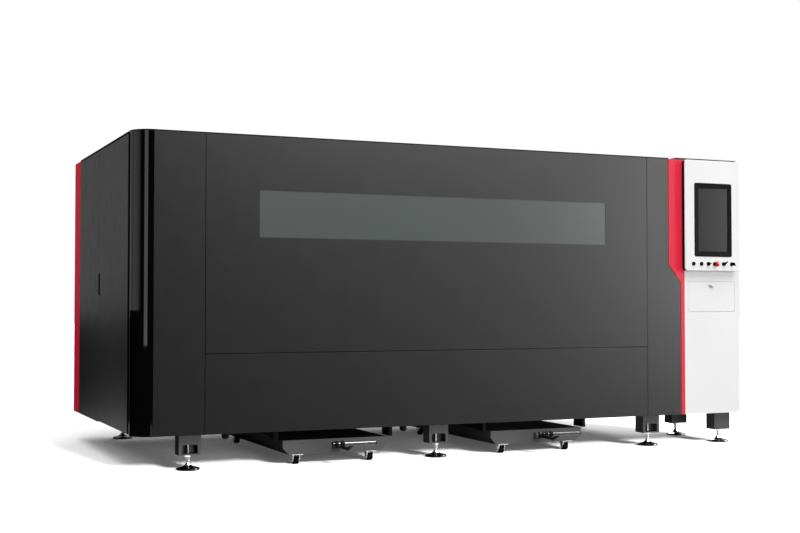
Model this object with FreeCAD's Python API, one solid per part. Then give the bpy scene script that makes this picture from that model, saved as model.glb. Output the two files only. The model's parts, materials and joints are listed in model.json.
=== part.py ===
"""Closed fiber laser cutting machine with a control column and two slag trolleys.

Sizes are in millimetres. While the pieces are modelled, x runs along the front
from the left outer face, y runs back from the front face of the panels and z
runs up from the floor. At the end everything moves so that the origin is the
middle of the bounding box at floor level, with +X along the machine's length,
+Y towards its back and +Z up.
"""
import FreeCAD
import Part
import math
import os

Vector = FreeCAD.Vector

# Travels that set the machine's size
gantry_travel = 3000.0
gantry_parked_x = 650.0
carriage_travel = 1360.0
carriage_parked_y = 430.0
slide_travel = 100.0
door_lift = 850.0
button_travel = 3.5
emergency_travel = 5.0

# Cabin
cabin_end_room = 218.0
floor_gap = 225.0
cabin_height = 1900.0
sheet = 2.0
touching = 0.001
seam = 4.0
fold_depth = 40.0
corner_radius = 126.0
rear_corner_radius = 60.0
frame_tube = 60.0
frame_wall = 3.0
roof_panel_count = 3

# Front of the cabin
left_seam_x = 456.0
right_panel_width = 333.0
skirt_height = 507.0
window_left_room = 355.0
window_right_room = 360.0
window_height = 303.0
window_drop = 348.0
window_radius = 6.0
window_overlap = 25.0
window_glass = 6.0
trim_upper_width = 141.0
trim_lower_width = 35.0
trim_bend_drop = 785.0
trim_bend_height = 134.0
trim_bend_radius = 40.0

# Lifting front door
door_thickness = 28.0
door_stiffener = 60.0
guide_width = 20.0
guide_height = 18.0
guide_setback = 20.0
shoe_length = 100.0
shoe_thickness = 26.0
shoe_margin = 3.0
stop_height = 10.0
stop_setback = 16.0
top_margin = 10.0

# Sides and back
side_seam_y = 1169.0
rear_cover_depth = 297.0
rear_cover_width = 298.0
rear_panel_count = 4
louvre_count = 8
louvre_length = 260.0
louvre_pitch = 26.0
louvre_rise = 9.0
louvre_height = 18.0
louvre_drop = 625.0
hinge_edge_gap = 8.0
door_end_gap = 8.0
hinge_pin_radius = 6.0
hinge_pin_length = 20.0
hinge_plate = 6.0
hinge_bracket_length = 30.0
hinge_boss_width = 24.0
hinge_boss_height = 24.0

# Swing handle of the side door
handle_edge_room = 36.0
handle_low_z = 1108.0
handle_height = 147.0
handle_width = 34.0
handle_depth = 20.0
handle_rim = 4.0
handle_rim_height = 1.5
handle_end_radius = 10.0
handle_dish_wall = 2.0
handle_fit_gap = 0.2
handle_lever_thickness = 9.0
handle_lever_gap = 1.0
handle_lever_radius = 7.0
handle_finger_room = 22.0
handle_pin_drop = 16.0
handle_pin_radius = 2.5

# Dust outlet
dust_port_x = 1620.0
dust_port_z = 500.0
dust_port_bore = 122.0
dust_port_wall = 3.0
dust_port_flange = 150.0
dust_port_flange_thickness = 6.0
dust_port_length = 60.0

# Base and legs
base_width = 100.0
base_height = 120.0
base_wall = 5.0
leg_width = 142.0
leg_wall = 6.0
leg_bottom_z = 97.0
first_leg_x = 371.5
middle_leg_x = 2101.0
last_leg_inset = 278.0
column_leg_inset = 139.5
leg_window_width = 103.0
leg_window_height = 59.0
leg_window_radius = 14.0
pad_radius = 75.0
pad_rim = 5.0
pad_crown = 20.0
pad_hub_radius = 20.0
pad_height = 36.0
stem_radius = 12.0
stem_top_z = 190.0
nut_width = 36.0
nut_height = 18.0
thread_clearance = 0.05
hole_clearance = 0.5

# Cutting bed
bed_left_x = 311.0
bed_end_room = 97.0
bed_side_y = 230.0
bed_beam_width = 140.0
bed_beam_height = 160.0
bed_beam_wall = 8.0
bed_top_z = 880.0
bed_post = 100.0
bed_post_wall = 6.0
bed_tie_drop = 120.0
ledge_width = 40.0
ledge_thickness = 10.0
slat_count = 24
slat_first_x = 700.0
slat_thickness = 5.0
slat_height = 120.0
slat_tooth_count = 16
slat_tooth_height = 55.0
slat_end_gap = 3.0
chute_thickness = 3.0
chute_lip = 40.0
chute_bottom_z = 240.0
chute_back_room = 40.0

# Gantry
rail_width = 30.0
rail_height = 28.0
rail_neck_width = 18.0
rail_neck_height = 10.0
rail_end_margin = 20.0
rack_width = 20.0
rack_height = 25.0
rack_gap = 15.0
running_gap = 0.3
beam_width = 160.0
beam_height = 200.0
beam_wall = 8.0
saddle_length = 300.0
saddle_overhang = 35.0
rail_block_length = 90.0
rail_block_width = 66.0
rail_block_top = 17.0
rail_block_clearance = 3.0
pinion_radius = 25.0
pinion_width = 16.0
pinion_teeth = 20
pinion_tooth_height = 3.5
tooth_root_share = 0.42
tooth_rise_share = 0.16
tooth_tip_share = 0.26
motor_size = 68.0
motor_length = 130.0
motor_rack_gap = 4.0
motor_shaft_radius = 8.0
motor_shaft_length = 30.0
shaft_clearance = 0.05
carriage_width = 160.0
carriage_thickness = 20.0
carriage_margin = 30.0
carriage_shoe_height = 50.0
cross_rail_width = 20.0
cross_rail_height = 18.0
cross_rail_inset = 35.0
cross_rail_margin = 100.0
slide_width = 90.0
slide_thickness = 18.0
slide_height = 300.0
slide_above_tip = 60.0
nozzle_clearance = 10.0
nozzle_tip_radius = 4.0
nozzle_cone_height = 18.0
nozzle_radius = 14.0
nozzle_height = 34.0
neck_radius = 27.0
neck_height = 80.0
head_body_width = 80.0
head_body_depth = 70.0
head_body_height = 230.0
head_body_radius = 8.0
head_tube_radius = 26.0
head_tube_height = 90.0
fibre_plug_radius = 18.0
fibre_plug_height = 30.0

# Slag trolleys
trolley_centres_x = (1348.0, 2866.0)
trolley_width = 730.0
trolley_front_y = 40.0
trolley_length = 1500.0
trolley_low_z = 68.0
trolley_height = 93.0
trolley_chamfer_x = 40.0
trolley_chamfer_z = 44.0
trolley_sheet = 4.0
wheel_radius = 25.0
wheel_width = 36.0
wheel_bevel = 3.0
wheel_inset = 105.0
wheel_front_room = 55.0
wheel_rear_room = 90.0
fork_plate = 5.0
fork_plate_width = 76.0
fork_plate_length = 90.0
fork_wall = 4.0
fork_top_length = 54.0
fork_foot_length = 22.0
fork_foot_drop = 8.0
axle_radius = 5.0
axle_head_width = 14.0
axle_head_height = 4.0
wheel_side_gap = 2.0
handle_ear_gap = 37.0
handle_ear_thickness = 12.0
handle_ear_radius = 22.0
handle_pivot_reach = 23.0
handle_pivot_rise = 50.0
drawbar_radius = 11.0
drawbar_hub_radius = 14.0
drawbar_hub_gap = 1.0
drawbar_level_length = 203.0
drawbar_rise_length = 112.0
drawbar_rise_height = 49.0
drawbar_drop = 5.0
crossbar_radius = 13.0
crossbar_length = 300.0
crossbar_bevel = 2.0
guide_block_width = 25.0
guide_block_length = 120.0
guide_block_height = 65.0
guide_block_gap = 25.0
guide_block_y = 60.0
guide_slot_length = 96.0
guide_slot_height = 38.0
drain_centres_x = (608.0, 1847.0)
drain_y = 70.0
drain_radius = 24.0
drain_drop = 40.0
drain_bevel = 6.0

# Control column
column_width = 505.0
column_depth = 700.0
column_fold = 24.0
column_louvre_rise = 225.0
cap_overlap = 55.0
cap_front_y = 20.0
cap_thickness = 15.0
cap_radius = 20.0
cap_edge_gap = 2.0

# Console on the column
console_overlap = 23.0
console_width = 486.0
console_height = 830.0
console_top_gap = 2.0
console_depth = 34.0
console_inset = 4.0
console_wall = 3.0
fascia_thickness = 8.0
fascia_radius = 25.0
fascia_bevel = 3.0
screen_room_left = 84.0
screen_room_low = 107.0
screen_width = 341.0
screen_height = 552.0
screen_radius = 15.0
screen_lip = 7.0
screen_border = 40.0
screen_proud = 3.0
screen_slope = 4.0
screen_glass = 4.0
screen_fit_gap = 0.3
screen_housing_border = 20.0
screen_housing_depth = 26.0

# Controls under the screen, from the console's left and lower edges
controls_rise = 53.0
start_offset = 74.0
stop_offset = 146.0
selector_offset = 208.0
emergency_offset = 267.0
lever_offset = 349.0
key_offset = 424.0
collar_radius = 15.0
collar_proud = 5.0
collar_sleeve_radius = 11.2
collar_hole_gap = 0.3
collar_length = 25.0
plunger_radius = 9.0
plunger_clearance = 0.05
plunger_end_gap = 1.0
button_proud = 6.0
contact_size = 26.0
contact_depth = 13.0
emergency_head_radius = 20.0
emergency_head_height = 18.0
emergency_bevel = 6.0
emergency_neck = 25.0
emergency_seat_gap = 2.0
knob_radius = 12.0
knob_height = 9.0
knob_gap = 0.4
selector_bar_length = 22.0
selector_angle = 35.0
lever_bar_length = 38.0
lever_angle = 40.0
lever_shift = 9.5
bar_width = 7.0
bar_height = 12.0
key_face = 2.0
key_thickness = 2.6
key_blade_length = 12.0
key_blade_width = 8.0
key_bow_height = 22.0
key_bow_width = 24.0
key_bow_radius = 8.0
key_hole_radius = 3.5
key_angle = 35.0

# Keyboard recess and flap
flap_side_room = 35.0
flap_width = 423.0
flap_drop = 82.0
flap_height = 220.0
flap_thickness = 18.0
flap_radius = 10.0
flap_pin_radius = 4.0
flap_pin_length = 16.0
flap_bore_end_gap = 1.0
recess_depth = 220.0
recess_floor_drop = 6.0
recess_top_room = 26.0
recess_wall = 2.0
shelf_height = 17.0
shelf_front_y = 26.0
keyboard_width = 393.0
keyboard_depth = 140.0
keyboard_height = 12.0
key_rows = 5
keys_per_row = 14
key_gap = 4.0
key_height = 3.0
keyboard_margin = 12.0
latch_offset = 203.0
latch_drop = 31.0
latch_disc_radius = 11.0
latch_disc_thickness = 3.0
latch_wing_length = 42.0
latch_wing_width = 7.0
latch_wing_height = 9.0
latch_angle = 20.0
latch_stem_radius = 4.0
latch_cam_length = 35.0
latch_cam_width = 12.0
latch_cam_thickness = 3.0
striker_width = 30.0
striker_depth = 4.0
striker_gap = 0.8

# Places worked out from the sizes above
bed_right_x = gantry_parked_x + gantry_travel + saddle_length / 2 + bed_end_room
cabin_length = bed_right_x + cabin_end_room
cabin_depth = carriage_travel + 2 * carriage_parked_y
cabin_top = floor_gap + cabin_height
half_seam = seam / 2
frame_left = fold_depth
frame_right = cabin_length - fold_depth
frame_front = fold_depth
frame_back = cabin_depth - fold_depth
frame_top = cabin_top - fold_depth
rail_low_z = frame_top - frame_tube
base_top = floor_gap + base_height
middle_y = cabin_depth / 2
right_seam_x = cabin_length - right_panel_width
skirt_top = floor_gap + skirt_height
window_left_x = left_seam_x + window_left_room
window_right_x = right_seam_x - window_right_room
window_high_z = cabin_top - window_drop
window_low_z = window_high_z - window_height
trim_upper_x = cabin_length - trim_upper_width
trim_lower_x = cabin_length - trim_lower_width
trim_bend_high_z = cabin_top - trim_bend_drop
trim_bend_low_z = trim_bend_high_z - trim_bend_height
rear_seam_y = cabin_depth - rear_cover_depth
louvre_low_z = cabin_top - louvre_drop
side_hinge_x = door_thickness / 2
side_door_front_y = corner_radius + hinge_edge_gap
side_hinge_y = side_door_front_y + door_thickness / 2
corner_post_x = frame_left + 2 * hinge_plate
handle_y = side_seam_y - half_seam - handle_edge_room
handle_high_z = handle_low_z + handle_height
handle_pin_z = handle_high_z - handle_pin_drop
handle_lever_x = handle_lever_gap + handle_lever_thickness / 2
column_left = cabin_length
column_right = cabin_length + column_width
leg_centres_x = (first_leg_x, middle_leg_x, cabin_length - last_leg_inset)
column_leg_x = column_right - column_leg_inset
bed_inner_y = bed_side_y + bed_beam_width
bed_low_z = bed_top_z - bed_beam_height
bed_tie_low_z = bed_low_z - bed_tie_drop
slat_low_z = bed_low_z + ledge_thickness
slat_top_z = slat_low_z + slat_height
slat_last_x = bed_right_x - bed_end_room
x_rail_y = bed_side_y + bed_beam_width / 2
rack_y = x_rail_y + rack_gap + rail_block_width / 2 + rack_width / 2
pinion_z = bed_top_z + rack_height + pinion_radius + running_gap
beam_low_z = pinion_z + motor_size / 2
beam_face_x = gantry_parked_x + beam_width / 2
carriage_face_x = beam_face_x + cross_rail_height + shoe_margin + carriage_thickness
slide_face_x = carriage_face_x + running_gap + slide_thickness
nozzle_tip_z = slat_top_z + nozzle_clearance + slide_travel
door_low_z = skirt_top + half_seam
shoe_low_z = door_low_z + stop_height + shoe_margin
shoe_high_z = rail_low_z - top_margin - door_lift - shoe_length
console_left_x = column_left - console_overlap
console_high_z = cabin_top - console_top_gap
console_low_z = console_high_z - console_height
screen_left_x = console_left_x + screen_room_left
screen_low_z = console_low_z + screen_room_low
controls_z = console_low_z + controls_rise
start_x = console_left_x + start_offset
stop_x = console_left_x + stop_offset
selector_x = console_left_x + selector_offset
emergency_x = console_left_x + emergency_offset
lever_x = console_left_x + lever_offset
key_x = console_left_x + key_offset
fascia_back_y = -console_depth
fascia_front_y = fascia_back_y - fascia_thickness
collar_front_y = fascia_front_y - collar_proud
collar_back_y = fascia_front_y + collar_length
turning_back_y = collar_back_y - plunger_end_gap
emergency_collar_y = fascia_front_y - emergency_neck
flap_left_x = column_left + flap_side_room
flap_right_x = flap_left_x + flap_width
flap_high_z = console_low_z - flap_drop
flap_low_z = flap_high_z - flap_height
flap_hinge_y = flap_thickness / 2
flap_hinge_z = flap_low_z + flap_thickness / 2
recess_left = flap_left_x - seam
recess_right = flap_right_x + seam
recess_low = flap_low_z - recess_floor_drop
recess_high = flap_high_z + recess_top_room
shelf_z = flap_low_z + shelf_height
latch_x = flap_left_x + latch_offset
latch_z = flap_high_z - latch_drop
trolley_back_y = trolley_front_y + trolley_length
trolley_high_z = trolley_low_z + trolley_height
wheel_front_y = trolley_front_y + wheel_front_room
wheel_rear_y = trolley_back_y - wheel_rear_room
handle_pivot_y = trolley_front_y - handle_pivot_reach
handle_pivot_z = trolley_low_z + handle_pivot_rise


def box(x0, x1, y0, y1, z0, z1):
    """A block between two corners."""
    return Part.makeBox(x1 - x0, y1 - y0, z1 - z0, Vector(x0, y0, z0))


def on_plane(axis, along, u, v):
    """The point at (u, v) on the plane square to an axis, at a distance along it."""
    if axis == "x":
        return Vector(along, u, v)
    if axis == "y":
        return Vector(u, along, v)
    return Vector(u, v, along)


def direction(axis):
    """The unit vector of a named axis."""
    return on_plane(axis, 1.0, 0.0, 0.0)


def rod(axis, u, v, low, high, radius):
    """A round bar along an axis between two stations."""
    return Part.makeCylinder(radius, high - low, on_plane(axis, low, u, v), direction(axis))


def outline(axis, along, corners):
    """A closed wire through corners; a third number rounds that corner."""
    count = len(corners)
    edges = []
    starts = []
    ends = []
    for index in range(count):
        corner = corners[index]
        here = on_plane(axis, along, corner[0], corner[1])
        radius = corner[2] if len(corner) > 2 else 0.0
        if radius == 0.0:
            starts.append((here, None))
            ends.append(here)
            continue
        before = corners[index - 1]
        after = corners[(index + 1) % count]
        to_before = on_plane(axis, along, before[0], before[1]).sub(here).normalize()
        to_after = on_plane(axis, along, after[0], after[1]).sub(here).normalize()
        half_angle = to_before.getAngle(to_after) / 2
        reach = radius / math.tan(half_angle)
        first = here + to_before * reach
        last = here + to_after * reach
        inward = (to_before + to_after).normalize()
        middle = here + inward * (radius / math.sin(half_angle) - radius)
        starts.append((first, middle))
        ends.append(last)
    for index in range(count):
        first, middle = starts[index]
        if middle is not None:
            edges.append(Part.Arc(first, middle, ends[index]).toShape())
        next_first = starts[(index + 1) % count][0]
        if ends[index].distanceToPoint(next_first) > touching:
            edges.append(Part.LineSegment(ends[index], next_first).toShape())
    return Part.Wire(edges)


def prism(axis, corners, low, high):
    """An outline pushed along an axis between two stations."""
    face = Part.Face(outline(axis, low, corners))
    return face.extrude(direction(axis) * (high - low))


def rectangle(u0, u1, v0, v1, radius=0.0):
    """Corners of a rectangle, all rounded alike."""
    return [(u0, v0, radius), (u1, v0, radius), (u1, v1, radius), (u0, v1, radius)]


def hollow_bar(axis, low, high, u0, u1, v0, v1, wall):
    """A rectangular tube along an axis, open at both ends."""
    outer = prism(axis, rectangle(u0, u1, v0, v1), low, high)
    inner = prism(axis, rectangle(u0 + wall, u1 - wall, v0 + wall, v1 - wall), low, high)
    return outer.cut(inner)


def pan(x0, x1, y0, y1, z0, z1, face):
    """A folded sheet tray whose closed side is its face and whose back is open."""
    low = [x0 + sheet, y0 + sheet, z0 + sheet]
    high = [x1 - sheet, y1 - sheet, z1 - sheet]
    if face == "front":
        high[1] = y1
    elif face == "back":
        low[1] = y0
    elif face == "left":
        high[0] = x1
    elif face == "right":
        low[0] = x0
    else:
        low[2] = z0
    return box(x0, x1, y0, y1, z0, z1).cut(box(low[0], high[0], low[1], high[1], low[2], high[2]))


def group(solids):
    """Separate solids kept together in one file."""
    return Part.makeCompound(solids)


def mirrored_in_depth(shape):
    """The same piece on the other side of the machine's middle."""
    return shape.mirror(Vector(0, middle_y, 0), Vector(0, 1, 0))


def turned(shape, x, y, z, axis, degrees):
    """A copy of a piece turned about an axis through a point."""
    copy = shape.copy()
    copy.rotate(Vector(x, y, z), direction(axis), degrees)
    return copy


def lathe(axis_x, axis_y, corners):
    """A piece turned about an upright axis, from a radius and height outline."""
    wire = outline("y", axis_y, [(axis_x + corner[0],) + tuple(corner[1:]) for corner in corners])
    return Part.Face(wire).revolve(Vector(axis_x, axis_y, 0), Vector(0, 0, 1), 360)


def hexagon(u, v, width):
    """Corners of a hexagon across whose flats a spanner of that width fits."""
    reach = width / 2 / math.cos(math.pi / 6)
    return [(u + reach * math.cos(k * math.pi / 3), v + reach * math.sin(k * math.pi / 3)) for k in range(6)]


# Base, legs and levelling feet

def leg_places():
    """Centres of all the legs: three pairs under the cabin and one under the column."""
    front_y = frame_front + base_width / 2
    back_y = frame_back - base_width / 2
    column_back_y = column_depth - column_fold - base_width / 2
    places = [(x, y) for y in (front_y, back_y) for x in leg_centres_x]
    return places + [(column_leg_x, front_y), (column_leg_x, column_back_y)]


def leg(x, y, wall_with_window):
    """A short leg tube with a foot plate and, on a cabin leg, a window to its nut."""
    x0 = x - leg_width / 2
    x1 = x + leg_width / 2
    y0 = y - base_width / 2
    y1 = y + base_width / 2
    body = box(x0, x1, y0, y1, leg_bottom_z, floor_gap)
    hollow = box(x0 + leg_wall, x1 - leg_wall, y0 + leg_wall, y1 - leg_wall,
                 leg_bottom_z + leg_wall, floor_gap)
    hole = rod("z", x, y, leg_bottom_z, leg_bottom_z + leg_wall, stem_radius + hole_clearance)
    body = body.cut(hollow).cut(hole)
    if wall_with_window is None:
        return body
    half = leg_window_width / 2
    low = leg_bottom_z + leg_wall
    high = low + leg_window_height
    corners = [(x - half, low), (x + half, low),
               (x + half, high, leg_window_radius), (x - half, high, leg_window_radius)]
    if wall_with_window == "front":
        window = prism("y", corners, y0, y0 + leg_wall)
    else:
        window = prism("y", corners, y1 - leg_wall, y1)
    return body.cut(window)


def base_frame():
    """The welded base ring, its cross members and the column's base."""
    z0 = floor_gap
    z1 = base_top
    wall = base_wall
    column_inner = column_right - column_fold
    inner_front = frame_front + base_width
    inner_back = frame_back - base_width
    solids = [
        hollow_bar("x", frame_left, column_inner, frame_front, inner_front, z0, z1, wall),
        hollow_bar("x", frame_left, frame_right, inner_back, frame_back, z0, z1, wall),
        hollow_bar("y", inner_front, inner_back, frame_left, frame_left + base_width, z0, z1, wall),
        hollow_bar("y", inner_front, inner_back, frame_right - base_width, frame_right, z0, z1, wall),
    ]
    for x in leg_centres_x:
        half = base_width / 2
        solids.append(hollow_bar("y", inner_front, inner_back, x - half, x + half, z0, z1, wall))
    column_back = column_depth - column_fold
    solids.append(hollow_bar("x", frame_right, column_inner, column_back - base_width, column_back, z0, z1, wall))
    solids.append(hollow_bar("y", inner_front, column_back - base_width,
                             column_inner - base_width, column_inner, z0, z1, wall))
    return group(solids)


def machine_legs():
    """All the legs; a cabin leg's window faces out to the front or the back."""
    solids = []
    for x, y in leg_places():
        if x == column_leg_x:
            solids.append(leg(x, y, None))
        elif y < middle_y:
            solids.append(leg(x, y, "front"))
        else:
            solids.append(leg(x, y, "back"))
    return group(solids)


def level_pads():
    """Round foot pads that rise in a low cone to the hub under each screw."""
    corners = [(0.0, 0.0), (pad_radius, 0.0), (pad_radius, pad_rim), (pad_hub_radius, pad_crown),
               (pad_hub_radius, pad_height), (0.0, pad_height)]
    return group([lathe(x, y, corners) for x, y in leg_places()])


def level_screws():
    """Levelling screws, each with the hexagon nut that carries its foot plate."""
    solids = []
    low = leg_bottom_z - nut_height
    for x, y in leg_places():
        solids.append(rod("z", x, y, pad_height, stem_top_z, stem_radius))
        nut = prism("z", hexagon(x, y, nut_width), low, leg_bottom_z)
        solids.append(nut.cut(rod("z", x, y, low, leg_bottom_z, stem_radius + thread_clearance)))
    return group(solids)


def trolley_guides():
    """Slotted blocks that hang from the base and keep each trolley on its track."""
    solids = []
    z1 = floor_gap
    z0 = z1 - guide_block_height
    y0 = guide_block_y
    y1 = y0 + guide_block_length
    slot_y = (guide_block_length - guide_slot_length) / 2
    slot_z = (guide_block_height - guide_slot_height) / 2
    slot = rectangle(y0 + slot_y, y1 - slot_y, z0 + slot_z, z1 - slot_z, guide_slot_height / 2)
    for centre in trolley_centres_x:
        reach = trolley_width / 2 + guide_block_gap
        for x0 in (centre - reach - guide_block_width, centre + reach):
            x1 = x0 + guide_block_width
            solids.append(box(x0, x1, y0, y1, z0, z1).cut(prism("x", slot, x0, x1)))
    return group(solids)


def drain_stubs():
    """Short round drain stubs under the front of the base, with a bevelled lower edge."""
    bottom = floor_gap - drain_drop
    corners = [(0.0, bottom), (drain_radius - drain_bevel, bottom), (drain_radius, bottom + drain_bevel),
               (drain_radius, floor_gap), (0.0, floor_gap)]
    return group([lathe(x, drain_y, corners) for x in drain_centres_x])


# Cutting bed

def bed_frame():
    """The welded bed: two long side beams on posts, with ties and slat ledges."""
    y0 = bed_side_y
    y1 = bed_inner_y
    half = bed_post / 2
    post_y0 = x_rail_y - half
    post_y1 = x_rail_y + half
    tie_top = bed_tie_low_z + bed_post
    one_side = [
        hollow_bar("x", bed_left_x, bed_right_x, y0, y1, bed_low_z, bed_top_z, bed_beam_wall),
        box(slat_first_x - ledge_width, slat_last_x + ledge_width, y1, y1 + ledge_width, bed_low_z, slat_low_z),
    ]
    for x in leg_centres_x:
        one_side.append(hollow_bar("z", base_top, bed_low_z, x - half, x + half, post_y0, post_y1, bed_post_wall))
    solids = one_side + [mirrored_in_depth(solid) for solid in one_side]
    for x in leg_centres_x:
        solids.append(hollow_bar("y", post_y1, cabin_depth - post_y1, x - half, x + half, bed_tie_low_z, tie_top,
                                 bed_post_wall))
    return group(solids)


def table_slats():
    """Upright slats with sawtooth tops that carry the sheet to be cut."""
    y0 = bed_inner_y + slat_end_gap
    y1 = cabin_depth - y0
    tooth = (y1 - y0) / slat_tooth_count
    corners = [(y0, slat_low_z)]
    for index in range(slat_tooth_count):
        corners.append((y0 + index * tooth, slat_top_z - slat_tooth_height))
        corners.append((y0 + (index + 0.5) * tooth, slat_top_z))
    corners.append((y1, slat_top_z - slat_tooth_height))
    corners.append((y1, slat_low_z))
    pitch = (slat_last_x - slat_first_x) / (slat_count - 1)
    places = [slat_first_x + index * pitch for index in range(slat_count)]
    return group([prism("x", corners, x, x + slat_thickness) for x in places])


def slag_chutes():
    """Two sheet hoppers that lead dross from the table down over the trolleys."""
    solids = []
    half_tie = bed_post / 2
    y0 = bed_inner_y + ledge_width
    y1 = trolley_back_y - chute_back_room
    t = chute_thickness
    bend = bed_tie_low_z
    top = bend + chute_lip
    foot = chute_bottom_z
    for index, centre in enumerate(trolley_centres_x):
        left = leg_centres_x[index] + half_tie
        right = leg_centres_x[index + 1] - half_tie
        mouth = trolley_width / 2 - chute_lip
        for edge, inward, toe in ((left, t, centre - mouth), (right, -t, centre + mouth)):
            corners = [(edge, top), (edge + inward, top), (edge + inward, bend), (toe + inward, foot), (toe, foot),
                       (edge, bend - t)]
            solids.append(prism("y", corners, y0, y1))
        end_corners = [(left + t, top), (right - t, top), (right - t, bend), (centre + mouth - t, foot),
                       (centre - mouth + t, foot), (left + t, bend)]
        for end in (y0, y1 - t):
            solids.append(prism("y", end_corners, end, end + t))
    return group(solids)


def x_rails():
    """Guide rails and gear racks bolted along the top of both bed beams."""
    half = rail_width / 2
    neck = rail_neck_width / 2
    flare = rail_neck_height / 2
    y = x_rail_y
    z0 = bed_top_z
    z1 = bed_top_z + rail_height
    waist = (z0 + z1) / 2
    section = [(y - half, z0), (y + half, z0), (y + half, waist - flare), (y + neck, waist),
               (y + half, waist + flare), (y + half, z1), (y - half, z1), (y - half, waist + flare),
               (y - neck, waist), (y - half, waist - flare)]
    x0 = bed_left_x + rail_end_margin
    x1 = bed_right_x - rail_end_margin
    rail = prism("x", section, x0, x1)
    rack = box(x0, x1, rack_y - rack_width / 2, rack_y + rack_width / 2, z0, z0 + rack_height)
    return group([rail, rack, mirrored_in_depth(rail), mirrored_in_depth(rack)])


# Gantry

def gantry_beam():
    """The bridge beam with its saddles, rail blocks and the rails of the cross slide."""
    x0 = gantry_parked_x - beam_width / 2
    x1 = gantry_parked_x + beam_width / 2
    saddle_z = bed_top_z + rail_height + rail_block_top
    saddle_x0 = gantry_parked_x - saddle_length / 2
    saddle_x1 = gantry_parked_x + saddle_length / 2
    block_y0 = x_rail_y - rail_block_width / 2
    block_y1 = x_rail_y + rail_block_width / 2
    block_low = bed_top_z + rail_block_clearance
    beam_y0 = block_y0 - saddle_overhang
    groove = box(saddle_x0, saddle_x1, x_rail_y - rail_width / 2 - running_gap,
                 x_rail_y + rail_width / 2 + running_gap, bed_top_z, bed_top_z + rail_height + running_gap)
    one_side = [box(saddle_x0, saddle_x1, block_y0, block_y1, saddle_z, beam_low_z)]
    for block_x in (saddle_x0, saddle_x1 - rail_block_length):
        block = box(block_x, block_x + rail_block_length, block_y0, block_y1, block_low, saddle_z)
        one_side.append(block.cut(groove))
    solids = one_side + [mirrored_in_depth(solid) for solid in one_side]
    solids.append(hollow_bar("y", beam_y0, cabin_depth - beam_y0, x0, x1, beam_low_z, beam_low_z + beam_height,
                             beam_wall))
    reach = carriage_width / 2 + cross_rail_margin
    rail_y0 = carriage_parked_y - reach
    rail_y1 = carriage_parked_y + carriage_travel + reach
    for rail_z in cross_rail_places():
        solids.append(box(x1, x1 + cross_rail_height, rail_y0, rail_y1, rail_z - cross_rail_width / 2,
                          rail_z + cross_rail_width / 2))
    return group(solids)


def cross_rail_places():
    """Heights of the two rails on the face of the beam."""
    return (beam_low_z + cross_rail_inset, beam_low_z + beam_height - cross_rail_inset)


def x_motors():
    """The two drive motors that hang under the beam inside the racks."""
    half = motor_size / 2
    y0 = rack_y + rack_width / 2 + motor_rack_gap
    body = box(gantry_parked_x - half, gantry_parked_x + half, y0, y0 + motor_length, pinion_z - half,
               pinion_z + half)
    bore = rod("y", gantry_parked_x, pinion_z, y0, y0 + motor_shaft_length, motor_shaft_radius + shaft_clearance)
    motor = body.cut(bore)
    return group([motor, mirrored_in_depth(motor)])


def x_pinions():
    """The toothed pinions and their shafts, one over each rack."""
    tip = pinion_radius
    root = pinion_radius - pinion_tooth_height
    step = 2 * math.pi / pinion_teeth
    rise = tooth_root_share + tooth_rise_share
    profile = ((root, 0.0), (root, tooth_root_share), (tip, rise), (tip, rise + tooth_tip_share))
    corners = []
    for index in range(pinion_teeth):
        for radius, share in profile:
            angle = (index + share) * step
            corners.append((gantry_parked_x + radius * math.cos(angle), pinion_z + radius * math.sin(angle)))
    y0 = rack_y - pinion_width / 2
    y1 = rack_y + rack_width / 2 + motor_shaft_length
    wheel = prism("y", corners, y0, y0 + pinion_width)
    pinion = wheel.fuse(rod("y", gantry_parked_x, pinion_z, y0, y1, motor_shaft_radius))
    return group([pinion, mirrored_in_depth(pinion)])


def y_carriage():
    """The cross carriage: a plate with four shoes that run on the beam's rails."""
    x0 = carriage_face_x - carriage_thickness
    y0 = carriage_parked_y - carriage_width / 2
    y1 = carriage_parked_y + carriage_width / 2
    low_rail, high_rail = cross_rail_places()
    half_shoe = carriage_shoe_height / 2
    half_groove = cross_rail_width / 2 + running_gap
    plate = box(x0, carriage_face_x, y0, y1, low_rail - carriage_margin, high_rail + carriage_margin)
    for rail_z in (low_rail, high_rail):
        shoe = box(beam_face_x + shoe_margin, x0, y0, y1, rail_z - half_shoe, rail_z + half_shoe)
        groove = box(beam_face_x, beam_face_x + cross_rail_height + running_gap, y0, y1, rail_z - half_groove,
                     rail_z + half_groove)
        plate = plate.fuse(shoe.cut(groove))
    return plate


def z_slide():
    """The upright slide that carries the cutting head."""
    x0 = carriage_face_x + running_gap
    half = slide_width / 2
    low = nozzle_tip_z + slide_above_tip
    return box(x0, slide_face_x, carriage_parked_y - half, carriage_parked_y + half, low, low + slide_height)


def cutting_head():
    """The cutting head: nozzle, focus housing and fibre plug in one line."""
    x = slide_face_x + head_body_depth / 2
    y = carriage_parked_y
    tip = nozzle_tip_z
    low = tip + neck_height
    high = low + head_body_height
    top = high + head_tube_height
    nozzle = lathe(x, y, [(0.0, tip), (nozzle_tip_radius, tip), (nozzle_radius, tip + nozzle_cone_height),
                          (nozzle_radius, tip + nozzle_height), (neck_radius, low), (0.0, low)])
    half = head_body_width / 2
    body = prism("z", rectangle(slide_face_x, slide_face_x + head_body_depth, y - half, y + half,
                                head_body_radius), low, high)
    tube = lathe(x, y, [(0.0, high), (head_tube_radius, high), (head_tube_radius, top), (fibre_plug_radius, top),
                        (fibre_plug_radius, top + fibre_plug_height), (0.0, top + fibre_plug_height)])
    return nozzle.fuse(body).fuse(tube)


# Cabin

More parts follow.
